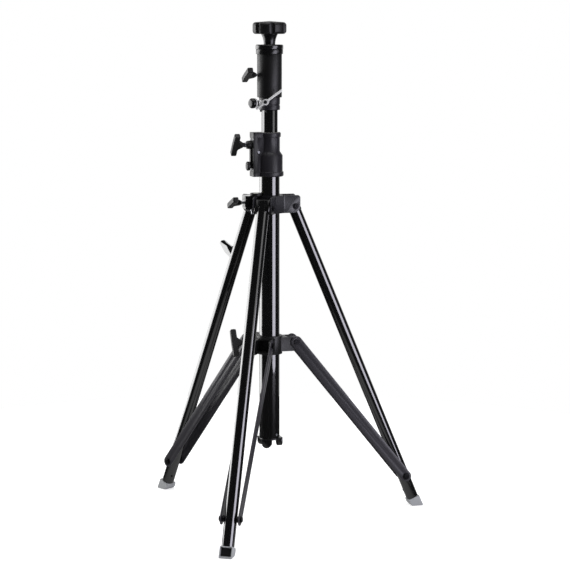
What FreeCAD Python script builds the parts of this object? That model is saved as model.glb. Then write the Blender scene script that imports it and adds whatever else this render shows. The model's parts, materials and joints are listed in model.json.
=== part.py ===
import FreeCAD, Part
import math
import os

import Sketcher
from FreeCAD import Placement, Rotation, Vector

# Crank lighting stand: a column tube on three braced legs, a geared riser that a small
# crank lifts, and a second riser inside it that carries the head with its lamp socket.
# Millimetres and degrees. +Z is up, the floor is z = 0, and the front leg points along -Y.
# Azimuths turn anticlockwise about the column, from +X.

# ---------------------------------------------------------------- driving sizes

SIZES = (
    # column
    ("column_radius", 25.0, "outer radius of the column tube"),
    ("column_wall", 2.0, "wall of the column tube"),
    ("column_length", 693.0, "length of the column tube"),
    ("column_gap", 197.5, "floor to the lower end of the column tube"),
    ("cap_insert", 20.0, "depth of the bottom cap inside the tube"),
    ("cap_flange", 4.0, "thickness of the cap's flange"),
    ("cap_overhang", 0.6, "how far the cap's flange stands proud of the tube"),
    ("lobe_drop", 18.5, "how far a lobe hangs below the cap's flange"),
    ("lobe_width", 24.0, "width of a lobe across the radius"),
    ("lobe_reach", 31.0, "distance from the axis to a lobe's outer face"),
    ("lobe_depth", 12.0, "thickness of a lobe along the radius"),
    # leg spider
    ("pivot_radius", 60.0, "column axis to a leg's pivot"),
    ("pivot_drop", 118.0, "top of the column tube to a leg's pivot"),
    ("spider_height", 43.0, "height of the pressed plates"),
    ("spider_drop", 16.0, "leg pivot to the lower edge of the plates"),
    ("plate_thickness", 3.0, "sheet of the pressed plates"),
    ("plate_bend", 8.0, "inner bend radius of the plates"),
    ("web_reach", 35.6, "column axis to the outer face of a plate's flat web"),
    ("ear_half_gap", 20.2, "half of the gap between the two ears of a leg"),
    ("ear_reach", 72.0, "column axis to the end of an ear"),
    ("ear_top_round", 7.0, "rounding of an ear's upper corner"),
    ("ear_low_round", 18.0, "rounding of an ear's lower corner"),
    ("bolt_radius", 4.0, "shank radius of the pivot bolts"),
    ("bolt_head_radius", 7.0, "head radius of the pivot bolts"),
    ("bolt_head_height", 4.5, "head height of the pivot bolts"),
    ("level_radius", 14.5, "radius of the round spirit level"),
    ("level_height", 7.0, "height of the round spirit level"),
    ("level_gap", 0.5, "gap between the spirit level and the column"),
    ("level_azimuth", 230.0, "azimuth of the round spirit level"),
    ("level_chamfer", 1.0, "chamfer and step of the round spirit level"),
    ("level_well", 10.0, "radius of the spirit level's glass"),
    ("clamp_inner_half", 12.0, "half width of the clamp block behind its step"),
    ("clamp_half_width", 16.5, "half width of the clamp block"),
    ("clamp_step", 45.9, "column axis to the step of the clamp block"),
    ("clamp_reach", 64.7, "column axis to the end of the clamp block"),
    ("clamp_height", 33.5, "height of the clamp block"),
    ("clamp_round", 6.0, "rounding of the clamp block's lower outer edge"),
    ("clamp_knob_rise", 10.0, "leg pivot to the clamp block's screw"),
    ("clamp_knob_start", 71.0, "column axis to the small end of the clamp block's knob"),
    # legs
    ("leg_lean", 22.8, "angle between a leg and the column"),
    ("leg_radius", 15.0, "outer radius of a leg tube"),
    ("leg_wall", 1.6, "wall of a leg tube"),
    ("leg_rise", 14.0, "tube above the pivot"),
    ("leg_end_gap", 22.5, "end of the tube to the floor, along the leg"),
    ("block_depth", 26.0, "top block, along the radius"),
    ("block_cover", 3.0, "top block over the end of the tube"),
    ("block_skirt", 12.0, "top block below the pivot"),
    ("block_round", 5.0, "rounding of the top block"),
    ("brace_bolt_rise", 87.0, "floor to the brace bolt, along the leg"),
    ("shoe_width", 31.0, "width of a shoe across the leg"),
    ("shoe_toe", 16.0, "leg axis on the floor to the toe"),
    ("shoe_heel", 18.0, "leg axis on the floor to the heel"),
    ("shoe_wall", 3.0, "wall of a shoe"),
    ("shoe_heel_rise", 5.0, "height of the heel's chamfer"),
    ("shoe_plug", 42.0, "length of the shoe's plug inside the tube"),
    ("horn_start", 120.0, "leg pivot to the upper root of the horn"),
    ("horn_root", 33.0, "length of the horn's root on the tube"),
    ("horn_reach", 47.0, "how far the horn's tip stands off the tube"),
    ("horn_belly", 21.0, "tube to the point where the horn's lower edge rises"),
    ("horn_neck", 10.0, "rounding between the tube and the horn's upper edge"),
    ("horn_dip", 12.0, "how far the tip lies below the upper root"),
    ("horn_edge", 3.0, "rise of the horn's upper edge behind the tip"),
    ("horn_width", 18.0, "width of the horn across the leg"),
    ("horn_tip", 7.0, "thickness of the horn at its tip"),
    # brace and collar
    ("collar_height", 45.0, "height of the brace collar's ring"),
    ("collar_wall", 6.5, "wall of the brace collar's ring"),
    ("collar_pivot_radius", 63.0, "column axis to a brace's upper pivot"),
    ("collar_pivot_height", 437.5, "floor to a brace's upper pivot"),
    ("collar_pivot_rise", 29.0, "lower edge of the ring to the upper pivot"),
    ("collar_ear_inside", 16.2, "half of the gap between two ears"),
    ("collar_ear_thickness", 3.8, "thickness of an ear"),
    ("collar_ear_end", 12.0, "end of an ear beyond its pivot"),
    ("collar_ear_drop", 23.0, "upper pivot to the lower edge of an ear"),
    ("collar_flange", 4.0, "thickness of the webs between two ears"),
    ("collar_web_reach", 42.0, "column axis to the end of the webs"),
    ("collar_boss_radius", 10.0, "radius of the boss for the collar's clamp screw"),
    ("collar_boss_reach", 62.0, "column axis to the end of that boss"),
    ("collar_knob_start", 67.8, "column axis to the small end of the collar's knob"),
    ("bar_width", 28.0, "width of a brace bar"),
    ("bar_thickness", 3.0, "thickness of a brace bar"),
    ("spacer_radius", 8.0, "radius of the spacers on a leg's brace bolt"),
    # gearbox
    ("socket_overlap", 45.0, "column tube inside the housing"),
    ("housing_height", 107.0, "height of the housing"),
    ("housing_wall", 7.0, "wall of the housing round the column"),
    ("housing_rim", 12.0, "height of the housing's two rims"),
    ("housing_rim_proud", 2.3, "how far the rims stand proud"),
    ("neck_radius", 25.2, "outer radius of the housing's neck"),
    ("shoulder_start", 51.0, "bottom of the housing to the shoulder"),
    ("shoulder_rise", 10.0, "height of the shoulder"),
    ("case_half_width", 16.5, "half width of the gear case"),
    ("case_reach", 34.6, "column axis to the cover of the gear case"),
    ("case_wall", 3.0, "wall of the gear case"),
    ("case_flange_proud", 1.0, "how far the case's flanges stand proud"),
    ("cover_thickness", 10.0, "thickness of the end cover"),
    ("cover_wall", 2.8, "wall of the end cover over the gear"),
    ("cover_screw_radius", 2.7, "radius of the cover screws' heads"),
    ("crank_height", 77.0, "bottom of the housing to the crank's axis"),
    ("crank_shaft_radius", 5.0, "radius of the crank shaft"),
    ("gear_module", 1.2, "module of the gear and the rack"),
    ("gear_teeth", 16.0, "teeth of the lift gear"),
    ("gear_width", 12.0, "face width of the lift gear"),
    ("axle_radius", 3.0, "radius of the lift gear's axle"),
    ("worm_root", 7.0, "root radius of the worm"),
    ("worm_length", 14.0, "length of the worm"),
    ("crank_throw", 51.5, "crank axis to the grip's axis"),
    ("crank_boss_radius", 10.8, "radius of the crank's boss"),
    ("crank_boss_length", 12.5, "length of the crank's boss"),
    ("crank_boss_end_radius", 9.6, "radius of the crank's boss at its outer end"),
    ("brake_spring_room", 6.0, "length of the brake's spring between boss and knob"),
    ("crank_arm_thickness", 4.0, "thickness of the crank arm"),
    ("crank_arm_width", 11.0, "width of the crank arm"),
    ("grip_radius", 11.0, "radius of the crank's grip"),
    ("grip_length", 8.5, "length of the crank's grip"),
    ("grip_round", 2.6, "rounding of the crank's grip"),
    # riser
    ("riser_radius", 20.0, "outer radius of the riser tube"),
    ("riser_wall", 2.0, "wall of the riser tube"),
    ("riser_inset", 32.0, "end of the column to the end of the riser, inside"),
    ("riser_show", 54.0, "riser between the housing and its collar"),
    ("slider_length", 30.0, "length of the two slider bushes"),
    ("bush_length", 26.0, "length of the bush in the housing's neck"),
    ("rack_strip", 0.6, "thickness of the rack under its teeth"),
    ("rack_tooth", 1.8, "height of the rack's teeth"),
    ("rack_half_width", 4.0, "half width of the rack"),
    ("rack_length", 448.0, "length of the rack"),
    ("rack_top", 20.0, "gear axis to the top of the rack"),
    ("riser_collar_radius", 25.5, "radius of the riser's collar"),
    ("riser_collar_flange", 12.0, "height of the collar's flange"),
    ("riser_collar_body", 18.0, "height of the collar above its flange"),
    ("collar_lip", 3.0, "lip at the top of the riser's collar"),
    ("collar_bush_height", 6.0, "height of the bush under that lip"),
    # lock
    ("lock_azimuth", 235.0, "azimuth of the locking plunger"),
    ("lock_height", 17.0, "bottom of the riser's collar to the plunger"),
    ("lock_ring_proud", 0.8, "how far the barrel's end ring stands proud"),
    ("lock_barrel_radius", 7.0, "radius of the plunger's barrel"),
    ("lock_barrel_end", 38.0, "column axis to the end of the barrel"),
    ("plunger_radius", 3.0, "radius of the plunger"),
    ("plunger_knob_radius", 12.3, "radius of the pull knob"),
    ("plunger_knob_start", 44.0, "column axis to the pull knob"),
    ("plunger_knob_length", 14.5, "length of the pull knob"),
    ("plunger_knob_round", 4.3, "rounding of the pull knob's end"),
    ("lever_azimuth", 270.0, "azimuth of the release lever's stud"),
    ("lever_height", 20.0, "bottom of the riser's collar to the stud"),
    ("lever_distance", 31.5, "column axis to the lever's inner face"),
    ("lever_thickness", 5.6, "thickness of the lever's eye and rod"),
    ("lever_eye_radius", 7.4, "radius of the lever's eye"),
    ("lever_long_arm", 49.0, "eye to the far end of the rod"),
    ("lever_short_arm", 29.0, "eye to the near end of the rod"),
    ("lever_slope", 36.0, "angle of the rod above the level"),
    # head
    ("inner_radius", 16.0, "outer radius of the inner riser"),
    ("inner_wall", 1.5, "wall of the inner riser"),
    ("inner_inset", 36.0, "end of the riser to the end of the inner riser"),
    ("head_radius", 30.0, "radius of the head's barrel"),
    ("head_length", 104.0, "height of the head's barrel"),
    ("head_seat", 43.0, "inner riser inside the head"),
    ("band_height", 12.0, "height of the band"),
    ("band_radius", 32.8, "radius of the band"),
    ("rim_height", 11.0, "height of the rim"),
    ("rim_radius", 33.6, "radius of the rim"),
    ("rim_round", 3.5, "rounding of the rim's upper edge"),
    ("socket_radius", 14.3, "radius of the lamp socket"),
    ("socket_depth", 70.0, "depth of the lamp socket in the barrel"),
    ("head_knob_rise", 54.0, "bottom of the head to its clamp knob"),
    ("plug_radius", 14.0, "radius of the plug's spigot"),
    ("plug_insert", 10.0, "depth of the plug's spigot in the rim"),
    ("plug_neck", 25.0, "height of the plug's neck"),
    ("plug_flare", 20.5, "radius of the neck under the star knob"),
    ("star_radius", 41.0, "outer radius of the star knob"),
    ("star_height", 31.0, "height of the star knob"),
    ("star_lobes", 7.0, "lobes of the star knob"),
    ("star_valley", 9.0, "radius of the valleys between the lobes"),
    ("star_valley_distance", 45.5, "axis to the centre of a valley"),
    ("star_azimuth", 241.8, "azimuth of a valley of the star knob"),
    ("star_dome", 2.5, "how far the star knob's top bulges"),
    ("star_round", 8.0, "rounding of the star knob's rim"),
    # T-shaped knobs
    ("tee_span", 69.0, "span of a T-shaped knob"),
    ("tee_width", 14.0, "depth of its bar along the screw"),
    ("tee_thickness", 13.0, "thickness of its bar"),
    ("tee_sweep", 1.0, "how far one end of its bar leans out and the other in"),
    ("tee_round", 3.2, "rounding of the ends of its bar"),
    ("tee_hub_radius", 12.5, "half width of its wedge at the bar"),
    ("tee_hub_length", 14.0, "length of its hub up to the wings"),
    ("tee_neck_radius", 5.5, "radius of its neck at the screw's end"),
    ("stud_radius", 3.5, "radius of the screws of the T-shaped knobs"),
    ("knob_stand", 1.0, "gap between the brake's spring and its knob"),
    ("head_knob_stand", 4.0, "head barrel to the small end of its clamp knob"),
    ("brake_turn", -45.0, "turn of the brake knob's bar about its screw"),
    ("head_knob_turn", -58.0, "turn of the head clamp's bar about its screw"),
    ("spider_knob_turn", -58.0, "turn of the spider clamp's bar about its screw"),
    ("collar_knob_turn", 28.0, "turn of the collar clamp's bar about its screw"),
    # clearances
    ("running_gap", 0.08, "radial clearance of a running fit"),
    ("face_gap", 0.3, "gap between faces that pass each other"),
)

SPIDER_AZIMUTHS = {"front": 270.0, "right": 30.0, "left": 150.0}
GEAR_AZIMUTH = 210.0
LEGS = len(SPIDER_AZIMUTHS)
TINY = 1e-6
WHOLE_TURN = 360.0
PARTS_FOLDER = "parts"

document = FreeCAD.newDocument("crank_stand")
sheet = document.addObject("Spreadsheet::Sheet", "Sizes")


class Size:
    """A number together with the spreadsheet formula that gives it."""

    def __init__(self, value, formula):
        self.value = float(value)
        self.formula = formula

    def __float__(self):
        return self.value

    def _join(self, other, sign, value):
        return Size(value, f"({self.formula} {sign} {as_size(other).formula})")

    def __add__(self, other):
        return self._join(other, "+", self.value + float(other))

    def __sub__(self, other):
        return self._join(other, "-", self.value - float(other))

    def __mul__(self, other):
        return self._join(other, "*", self.value * float(other))

    def __truediv__(self, other):
        return self._join(other, "/", self.value / float(other))

    def __neg__(self):
        return Size(-self.value, f"(0 - {self.formula})")

    def __radd__(self, other):
        return as_size(other) + self

    def __rsub__(self, other):
        return as_size(other) - self

    def __rmul__(self, other):
        return as_size(other) * self


def as_size(number):
    """The number as a Size."""
    return number if isinstance(number, Size) else Size(number, repr(float(number)))


def sine(angle):
    """Sine of an angle in degrees."""
    return Size(math.sin(math.radians(float(angle))), f"sin({as_size(angle).formula})")


def cosine(angle):
    """Cosine of an angle in degrees."""
    return Size(math.cos(math.radians(float(angle))), f"cos({as_size(angle).formula})")


def root(number):
    """Square root."""
    return Size(math.sqrt(float(number)), f"sqrt({as_size(number).formula})")


class Sizes:
    """The driving sizes by name, each bound to its cell."""

    def __init__(self, rows):
        for line, (name, value, _) in enumerate(rows, start=1):
            sheet.set(f"A{line}", name)
            sheet.set(f"B{line}", str(value))
            sheet.setAlias(f"B{line}", name)
            setattr(self, name, Size(value, f"Sizes.{name}"))
        document.recompute()


s = Sizes(SIZES)

# ---------------------------------------------------------------- worked-out sizes

column_top = s.column_gap + s.column_length
column_bore = s.column_radius - s.column_wall
pivot_height = column_top - s.pivot_drop
leg_length = pivot_height / cosine(s.leg_lean)
foot_radius = s.pivot_radius + leg_length * sine(s.leg_lean)
leg_bore = s.leg_radius - s.leg_wall
tube_end = leg_length - s.leg_end_gap

brace_bolt_drop = leg_length - s.brace_bolt_rise
brace_bolt_radius = s.pivot_radius + brace_bolt_drop * sine(s.leg_lean)
brace_bolt_height = pivot_height - brace_bolt_drop * cosine(s.leg_lean)
brace_run = brace_bolt_radius - s.collar_pivot_radius
brace_climb = s.collar_pivot_height - brace_bolt_height
brace_length = root(brace_run * brace_run + brace_climb * brace_climb)
brace_lean = math.degrees(math.atan2(float(brace_run), float(brace_climb)))

half_turn_of_leg = WHOLE_TURN / LEGS / 2
level_distance = s.column_radius + s.level_gap + s.level_radius
bend_outside = s.plate_bend + s.plate_thickness
ear_outside = s.ear_half_gap + s.plate_thickness
plates_bottom = pivot_height - s.spider_drop
plates_top = plates_bottom + s.spider_height
spider_knob_level = pivot_height + s.clamp_knob_rise
collar_ear_outside = s.collar_ear_inside + s.collar_ear_thickness
bar_inside = collar_ear_outside + s.face_gap
bar_outside = bar_inside + s.bar_thickness

housing_bottom = column_top - s.socket_overlap
housing_top = housing_bottom + s.housing_height
crank_level = housing_bottom + s.crank_height
pitch_radius = s.gear_module * s.gear_teeth / 2
gear_tip = pitch_radius + s.gear_module * 0.56
gear_level = crank_level - s.worm_root - s.face_gap - gear_tip
rack_pitch_line = s.riser_radius + s.rack_strip + s.face_gap + s.gear_module * 0.56
gear_distance = rack_pitch_line + pitch_radius
tooth_pitch = s.gear_module * math.pi

riser_bottom = s.column_gap + s.riser_inset
riser_bore = s.riser_radius - s.riser_wall
riser_collar_bottom = housing_top + s.riser_show
riser_collar_top = riser_collar_bottom + s.riser_collar_flange + s.riser_collar_body
riser_top = riser_collar_top - s.collar_lip - s.collar_bush_height
head_bottom = riser_collar_top + s.face_gap
head_top = head_bottom + s.head_length
rim_bottom = head_top + s.band_height
rim_top = rim_bottom + s.rim_height
plug_top = rim_top + s.plug_neck
knob_level = head_bottom + s.head_knob_rise
stud_reach = s.knob_stand + s.tee_hub_length - 1

# The outline on the floor is that of the three toes, and its centre is the origin.
toe_radius = foot_radius + s.shoe_toe
back_reach = toe_radius * cosine(2 * half_turn_of_leg) * -1 + s.shoe_width / 2 * sine(120.0)
column_offset = (toe_radius - back_reach) / 2

# ---------------------------------------------------------------- building tools

pieces = []


def bind(feature, name, size):
    """Set a property from a size, bound to its formula."""
    setattr(feature, name, float(size))
    feature.setExpression(name, as_size(size).formula)


def place(feature, at, rotation=None):
    """Put a feature at a point whose coordinates stay bound to their formulas."""
    feature.Placement = Placement(Vector(*(float(part) for part in at)), rotation or Rotation())
    for axis, part in zip("xyz", at):
        feature.setExpression(f"Placement.Base.{axis}", as_size(part).formula)
    return feature


TOWARDS = {
    "X": Rotation(Vector(0, 1, 0), 90),
    "Y": Rotation(Vector(1, 0, 0), -90),
    "Z": Rotation(),
}


def cylinder(radius, length, at=(0, 0, 0), axis="Z"):
    """A round bar that starts at a point and runs along an axis."""
    bar = document.addObject("Part::Cylinder", "bar")
    bind(bar, "Radius", radius)
    bind(bar, "Height", length)
    return place(bar, at, TOWARDS[axis])


def cone(start_radius, end_radius, length, at=(0, 0, 0), axis="Z"):
    """A tapered round bar that starts at a point and runs along an axis."""
    taper = document.addObject("Part::Cone", "taper")
    bind(taper, "Radius1", start_radius)
    bind(taper, "Radius2", end_radius)
    bind(taper, "Height", length)
    return place(taper, at, TOWARDS[axis])


def box(low, high):
    """A box between two corners."""
    block = document.addObject("Part::Box", "block")
    for name, start, end in zip(("Length", "Width", "Height"), low, high):
        bind(block, name, as_size(end) - start)
    return place(block, low)


def hexagon(radius, length, at=(0, 0, 0), axis="Z"):
    """A hexagonal bar, its radius measured to the corners."""
    bar = document.addObject("Part::Prism", "hexagon")
    bar.Polygon = 6
    bind(bar, "Circumradius", radius)
    bind(bar, "Height", length)
    return place(bar, at, TOWARDS[axis])


def fuse(*shapes):
    """The shapes joined to one."""
    joined = document.addObject("Part::MultiFuse", "joined")
    joined.Shapes = list(shapes)
    joined.Refine = True
    return joined


def cut(base, *tools):
    """The base with the tools taken away."""
    left = document.addObject("Part::Cut", "cut")
    left.Base = base
    left.Tool = tools[0] if len(tools) == 1 else fuse(*tools)
    left.Refine = True
    return left


def group(*shapes):
    """Separate solids that share one node."""
    together = document.addObject("Part::Compound", "group")
    together.Links = list(shapes)
    return together


def arc_between(start, end, radius):
    """The short arc between two points; its centre is on the left if the radius is positive."""
    chord = end - start
    across = Vector(-chord.y, chord.x, 0).normalize()
    rise = math.sqrt(max(radius * radius - chord.Length ** 2 / 4, 0.0))
    centre = (start + end) / 2 + across * math.copysign(rise, radius)
    first, last = (start, end) if radius > 0 else (end, start)
    angles = [math.atan2(point.y - centre.y, point.x - centre.x) for point in (first, last)]
    circle = Part.Circle(centre, Vector(0, 0, 1), abs(radius))
    return Part.ArcOfCircle(circle, *angles)


def pin(sketch, edge, end, x, y):
    """Tie one end of a sketch edge to its coordinates."""
    for kind, axis, size in (("DistanceX", -2, as_size(x)), ("DistanceY", -1, as_size(y))):
        if abs(size.value) < TINY:
            sketch.addConstraint(Sketcher.Constraint("PointOnObject", edge, end, axis))
            continue
        points = (-1, 1, edge, end) if size.value > 0 else (edge, end, -1, 1)
        bound = size if size.value > 0 else -size
        number = sketch.addConstraint(Sketcher.Constraint(kind, *points, bound.value))
        sketch.setExpression(f"Constraints[{number}]", bound.formula)


def outline(sketch, corners):
    """A closed outline. A corner is x, y and, where an arc starts there, its signed radius."""
    first = sketch.GeometryCount
    count = len(corners)
    starts = []
    for index, corner in enumerate(corners):
        after = corners[(index + 1) % count]
        ends = [Vector(float(x), float(y), 0) for x, y in (corner[:2], after[:2])]
        if len(corner) == 3:
            edge = sketch.addGeometry(arc_between(*ends, float(corner[2])), False)
            starts.append(1 if float(corner[2]) > 0 else 2)
            number = sketch.addConstraint(
                Sketcher.Constraint("Radius", edge, abs(float(corner[2])))
            )
            size = as_size(corner[2])
            size = size if size.value > 0 else -size
            sketch.setExpression(f"Constraints[{number}]", size.formula)
        else:
            sketch.addGeometry(Part.LineSegment(*ends), False)
            starts.append(1)
    for index, corner in enumerate(corners):
        after = (index + 1) % count
        sketch.addConstraint(
            Sketcher.Constraint(
                "Coincident", first + index, 3 - starts[index], first + after, starts[after]
            )
        )
        pin(sketch, first + index, starts[index], *corner[:2])


def circle(sketch, x, y, radius):
    """A circle tied to its centre and radius."""
    edge = sketch.addGeometry(
        Part.Circle(Vector(float(x), float(y), 0), Vector(0, 0, 1), float(radius)), False
    )
    number = sketch.addConstraint(Sketcher.Constraint("Radius", edge, float(radius)))
    sketch.setExpression(f"Constraints[{number}]", as_size(radius).formula)
    pin(sketch, edge, 3, x, y)


def sketch_on(body, plane, lift=0):
    """A sketch on one of the body's own planes, or at a distance in front of it."""
    sketch = body.newObject("Sketcher::SketchObject", "sketch")
    support = next(part for part in body.Origin.OriginFeatures if part.Role == plane)
    sketch.AttachmentSupport = [(support, "")]
    sketch.MapMode = "FlatFace"
    sketch.AttachmentOffset = Placement(Vector(0, 0, float(lift)), Rotation())
    sketch.setExpression("AttachmentOffset.Base.z", as_size(lift).formula)
    return sketch


def new_body(name):
    """An empty body."""
    return document.addObject("PartDesign::Body", name)


def revolve(body, corners):
    """Turn an outline of radius and height about the body's upright axis."""
    sketch = sketch_on(body, "XZ_Plane")
    outline(sketch, corners)
    feature = body.newObject("PartDesign::Revolution", "turned")
    feature.Profile = sketch
    feature.ReferenceAxis = (sketch, ["V_Axis"])
    feature.Angle = WHOLE_TURN
    return feature


def turned(name, corners):
    """A body made on the lathe."""
    body = new_body(name)
    revolve(body, corners)
    return body


def pad(body, sketch, length, both_sides=False):
    """Thicken a sketch into the body."""
    feature = body.newObject("PartDesign::Pad", "pad")
    feature.Profile = sketch
    feature.SideType = "Symmetric" if both_sides else "One side"
    bind(feature, "Length", length)
    return feature


def pocket(body, sketch, length=None):
    """Cut a sketch out of the body, both ways, or all the way through."""
    document.recompute()
    before = body.Shape.Volume
    feature = body.newObject("PartDesign::Pocket", "pocket")
    feature.Profile = sketch
    if length is None:
        feature.Type = "ThroughAll"
    else:
        bind(feature, "Length", length)
    feature.SideType = "Symmetric"
    document.recompute()
    if body.Shape.Volume > before - TINY:
        raise ValueError(f"{body.Label}: the pocket cuts nothing")
    return feature


def around(body, features, count):
    """Repeat features about the body's upright axis."""
    pattern = body.newObject("PartDesign::PolarPattern", "around")
    pattern.Originals = list(features)
    pattern.Axis = (sketch_axis(body), [""])
    pattern.Angle = WHOLE_TURN
    pattern.Occurrences = round(float(count))
    body.Tip = pattern
    document.recompute()
    return pattern


def sketch_axis(body):
    """The body's own upright axis."""
    return next(part for part in body.Origin.OriginFeatures if part.Role == "Z_Axis")


def soften(body, radius, wanted):
    """Round the edges of the body's last feature that the test picks."""
    document.recompute()
    last = body.Tip
    names = [f"Edge{n}" for n, edge in enumerate(last.Shape.Edges, start=1) if wanted(edge)]
    if not names:
        raise ValueError(f"{body.Label}: no edge to round")
    feature = body.newObject("PartDesign::Fillet", "rounded")
    feature.Base = (last, names)
    bind(feature, "Radius", radius)
    document.recompute()
    return feature


def flat_bar(name, plane, corners, thickness, both_sides=True, lift=0, holes=()):
    """A body cut from flat stock: one outline, some round holes, one thickness."""
    body = new_body(name)
    sketch = sketch_on(body, plane, lift)
    outline(sketch, corners)
    for x, y, radius in holes:
        circle(sketch, x, y, radius)
    pad(body, sketch, thickness, both_sides)
    return body


def stand_frame(azimuth):
    """The frame on the column's axis whose X axis points out at an azimuth."""
    return Placement(
        Vector(0, float(column_offset), 0), Rotation(Vector(0, 0, 1), float(azimuth))
    )


def tilted(azimuth, radius, height, lean):
    """A frame in a leg's plane, its Z axis leaning towards the column at the top."""
    shift = Vector(float(radius), 0, float(height))
    return stand_frame(azimuth) * Placement(shift, Rotation(Vector(0, 1, 0), -float(lean)))


def leg_frame(azimuth):
    """The frame of a leg: its origin is the pivot and the tube runs down -Z."""
    return tilted(azimuth, s.pivot_radius, pivot_height, s.leg_lean)


def brace_frame(azimuth):
    """The frame of a brace: its origin is the bolt on the leg, the collar is up +Z."""
    return tilted(azimuth, brace_bolt_radius, brace_bolt_height, brace_lean)


def screw_frame(azimuth, radius, height):
    """The frame of a knob: its screw points out at an azimuth along +Z."""
    shift = Vector(float(radius), 0, float(height))
    return stand_frame(azimuth) * Placement(shift, TOWARDS["X"])


def keep(shape, name, frame=None):
    """Name a finished sub-part and put it in its place."""
    shape.Label = name
    if frame is not None:
        shape.Placement = frame
    pieces.append(shape)
    return shape


# ---------------------------------------------------------------- column


def build_column():
    """The column tube and the cap with three lobes that closes it below."""
    tube = turned("column", (
        (column_bore, s.column_gap),
        (s.column_radius, s.column_gap),
        (s.column_radius, column_top),
        (column_bore, column_top),
    ))
    keep(tube, "column_tube", stand_frame(0))

    cap = new_body("cap")
    flange_bottom = s.column_gap - s.cap_flange
    revolve(cap, (
        (0, flange_bottom),
        (s.column_radius + s.cap_overhang, flange_bottom),
        (s.column_radius + s.cap_overhang, s.column_gap),
        (column_bore - s.running_gap, s.column_gap),
        (column_bore - s.running_gap, s.column_gap + s.cap_insert),
        (0, s.column_gap + s.cap_insert),
    ))
    lobe = sketch_on(cap, "YZ_Plane", s.lobe_reach - s.lobe_depth)
    half = s.lobe_width / 2
    tip = flange_bottom - s.lobe_drop + half
    outline(lobe, (
        (-half, s.column_gap),
        (-half, tip, half),
        (0, tip - half, half),
        (half, tip),
        (half, s.column_gap),
    ))
    around(cap, [pad(cap, lobe, s.lobe_depth)], LEGS)
    keep(cap, "column_cap", stand_frame(SPIDER_AZIMUTHS["front"]))


# ---------------------------------------------------------------- leg spider


def plate_outline():
    """The strip between two legs, seen from above: two ears, two bends and a flat web.

    The first leg lies along +X, and the web stands square to the bisector.
    """
    turn = 2 * half_turn_of_leg
    across, along = sine(half_turn_of_leg), cosine(half_turn_of_leg)
    half_bend = as_size(half_turn_of_leg / 4)
    tangent = sine(half_bend) / cosine(half_bend)

    def on_second(x, y):
        """The same point of the second ear, mirrored over the bisector."""
        return x * cosine(turn) + y * sine(turn), x * sine(turn) - y * cosine(turn)

    def bend(face, reach, radius):
        """The two ends of a bend, on the ear and on the web."""
        corner = (reach - face * across) / along
        step = radius * tangent
        return (corner + step, face), (corner - step * across, face + step * along)

    near_ear, near_web = bend(s.ear_half_gap, s.web_reach - s.plate_thickness, bend_outside)
    far_ear, far_web = bend(ear_outside, s.web_reach, s.plate_bend)
    return (
        near_ear,
        (s.ear_reach, s.ear_half_gap),
        (s.ear_reach, ear_outside),
        (*far_ear, -s.plate_bend),
        far_web,
        (*on_second(*far_web), -s.plate_bend),
        on_second(*far_ear),
        on_second(s.ear_reach, ear_outside),
        on_second(s.ear_reach, s.ear_half_gap),
        (*on_second(*near_ear), bend_outside),
        on_second(*near_web),
        (*near_web, bend_outside),
    )


def clamp_screw_hole():
    """The hole of the clamp screw, in the frame of the left plate's first leg."""
    hole = cylinder(s.stud_radius + s.running_gap, s.clamp_reach)
    start = (
        s.column_radius * cosine(half_turn_of_leg) / 2,
        s.column_radius * sine(half_turn_of_leg) / 2,
        spider_knob_level,
    )
    return place(hole, start, Rotation(Vector(0, 0, 1), half_turn_of_leg) * TOWARDS["X"])


def spider_plate(name, azimuth, with_screw):
    """One pressed plate: two ears and the web that bears on the hub."""
    body = new_body("plate")
    sketch = sketch_on(body, "XY_Plane", plates_bottom)
    outline(sketch, plate_outline())
    pad(body, sketch, s.spider_height)
    limit = float(s.ear_reach) - float(s.plate_thickness)
    turn = 2 * half_turn_of_leg

    def at_ear_end(level):
        def test(edge):
            middle = edge.CenterOfMass
            second = middle.x * float(cosine(turn)) + middle.y * float(sine(turn))
            short = edge.Length < float(s.plate_thickness) * 1.01
            at_end = max(middle.x, second) > limit
            return short and at_end and abs(middle.z - float(level)) < TINY
        return test

    soften(body, s.ear_top_round, at_ear_end(plates_top))
    soften(body, s.ear_low_round, at_ear_end(plates_bottom))
    hole = s.bolt_radius + s.running_gap
    first = cylinder(hole, s.ear_reach, (s.pivot_radius, 0, pivot_height), "Y")
    second = cylinder(hole, s.ear_reach)
    start = (
        s.pivot_radius * cosine(turn) + s.ear_reach * sine(turn),
        s.pivot_radius * sine(turn) - s.ear_reach * cosine(turn),
        pivot_height,
    )
    place(second, start, Rotation(Vector(0, 0, 1), turn) * TOWARDS["Y"])
    holes = [first, second] + ([clamp_screw_hole()] if with_screw else [])
    keep(cut(body, *holes), name, stand_frame(azimuth))


def spider_hub():
    """The ring that fills the space between the column and the webs of the plates."""
    outer = s.web_reach - s.plate_thickness
    hub = turned("hub", (
        (s.column_radius, plates_bottom),
        (outer, plates_bottom),
        (outer, plates_top),
        (s.column_radius, plates_top),
    ))
    hole = cylinder(s.stud_radius + s.running_gap, outer, (0, 0, spider_knob_level), "X")
    keep(cut(hub, hole), "spider_hub", stand_frame(GEAR_AZIMUTH))


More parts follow.
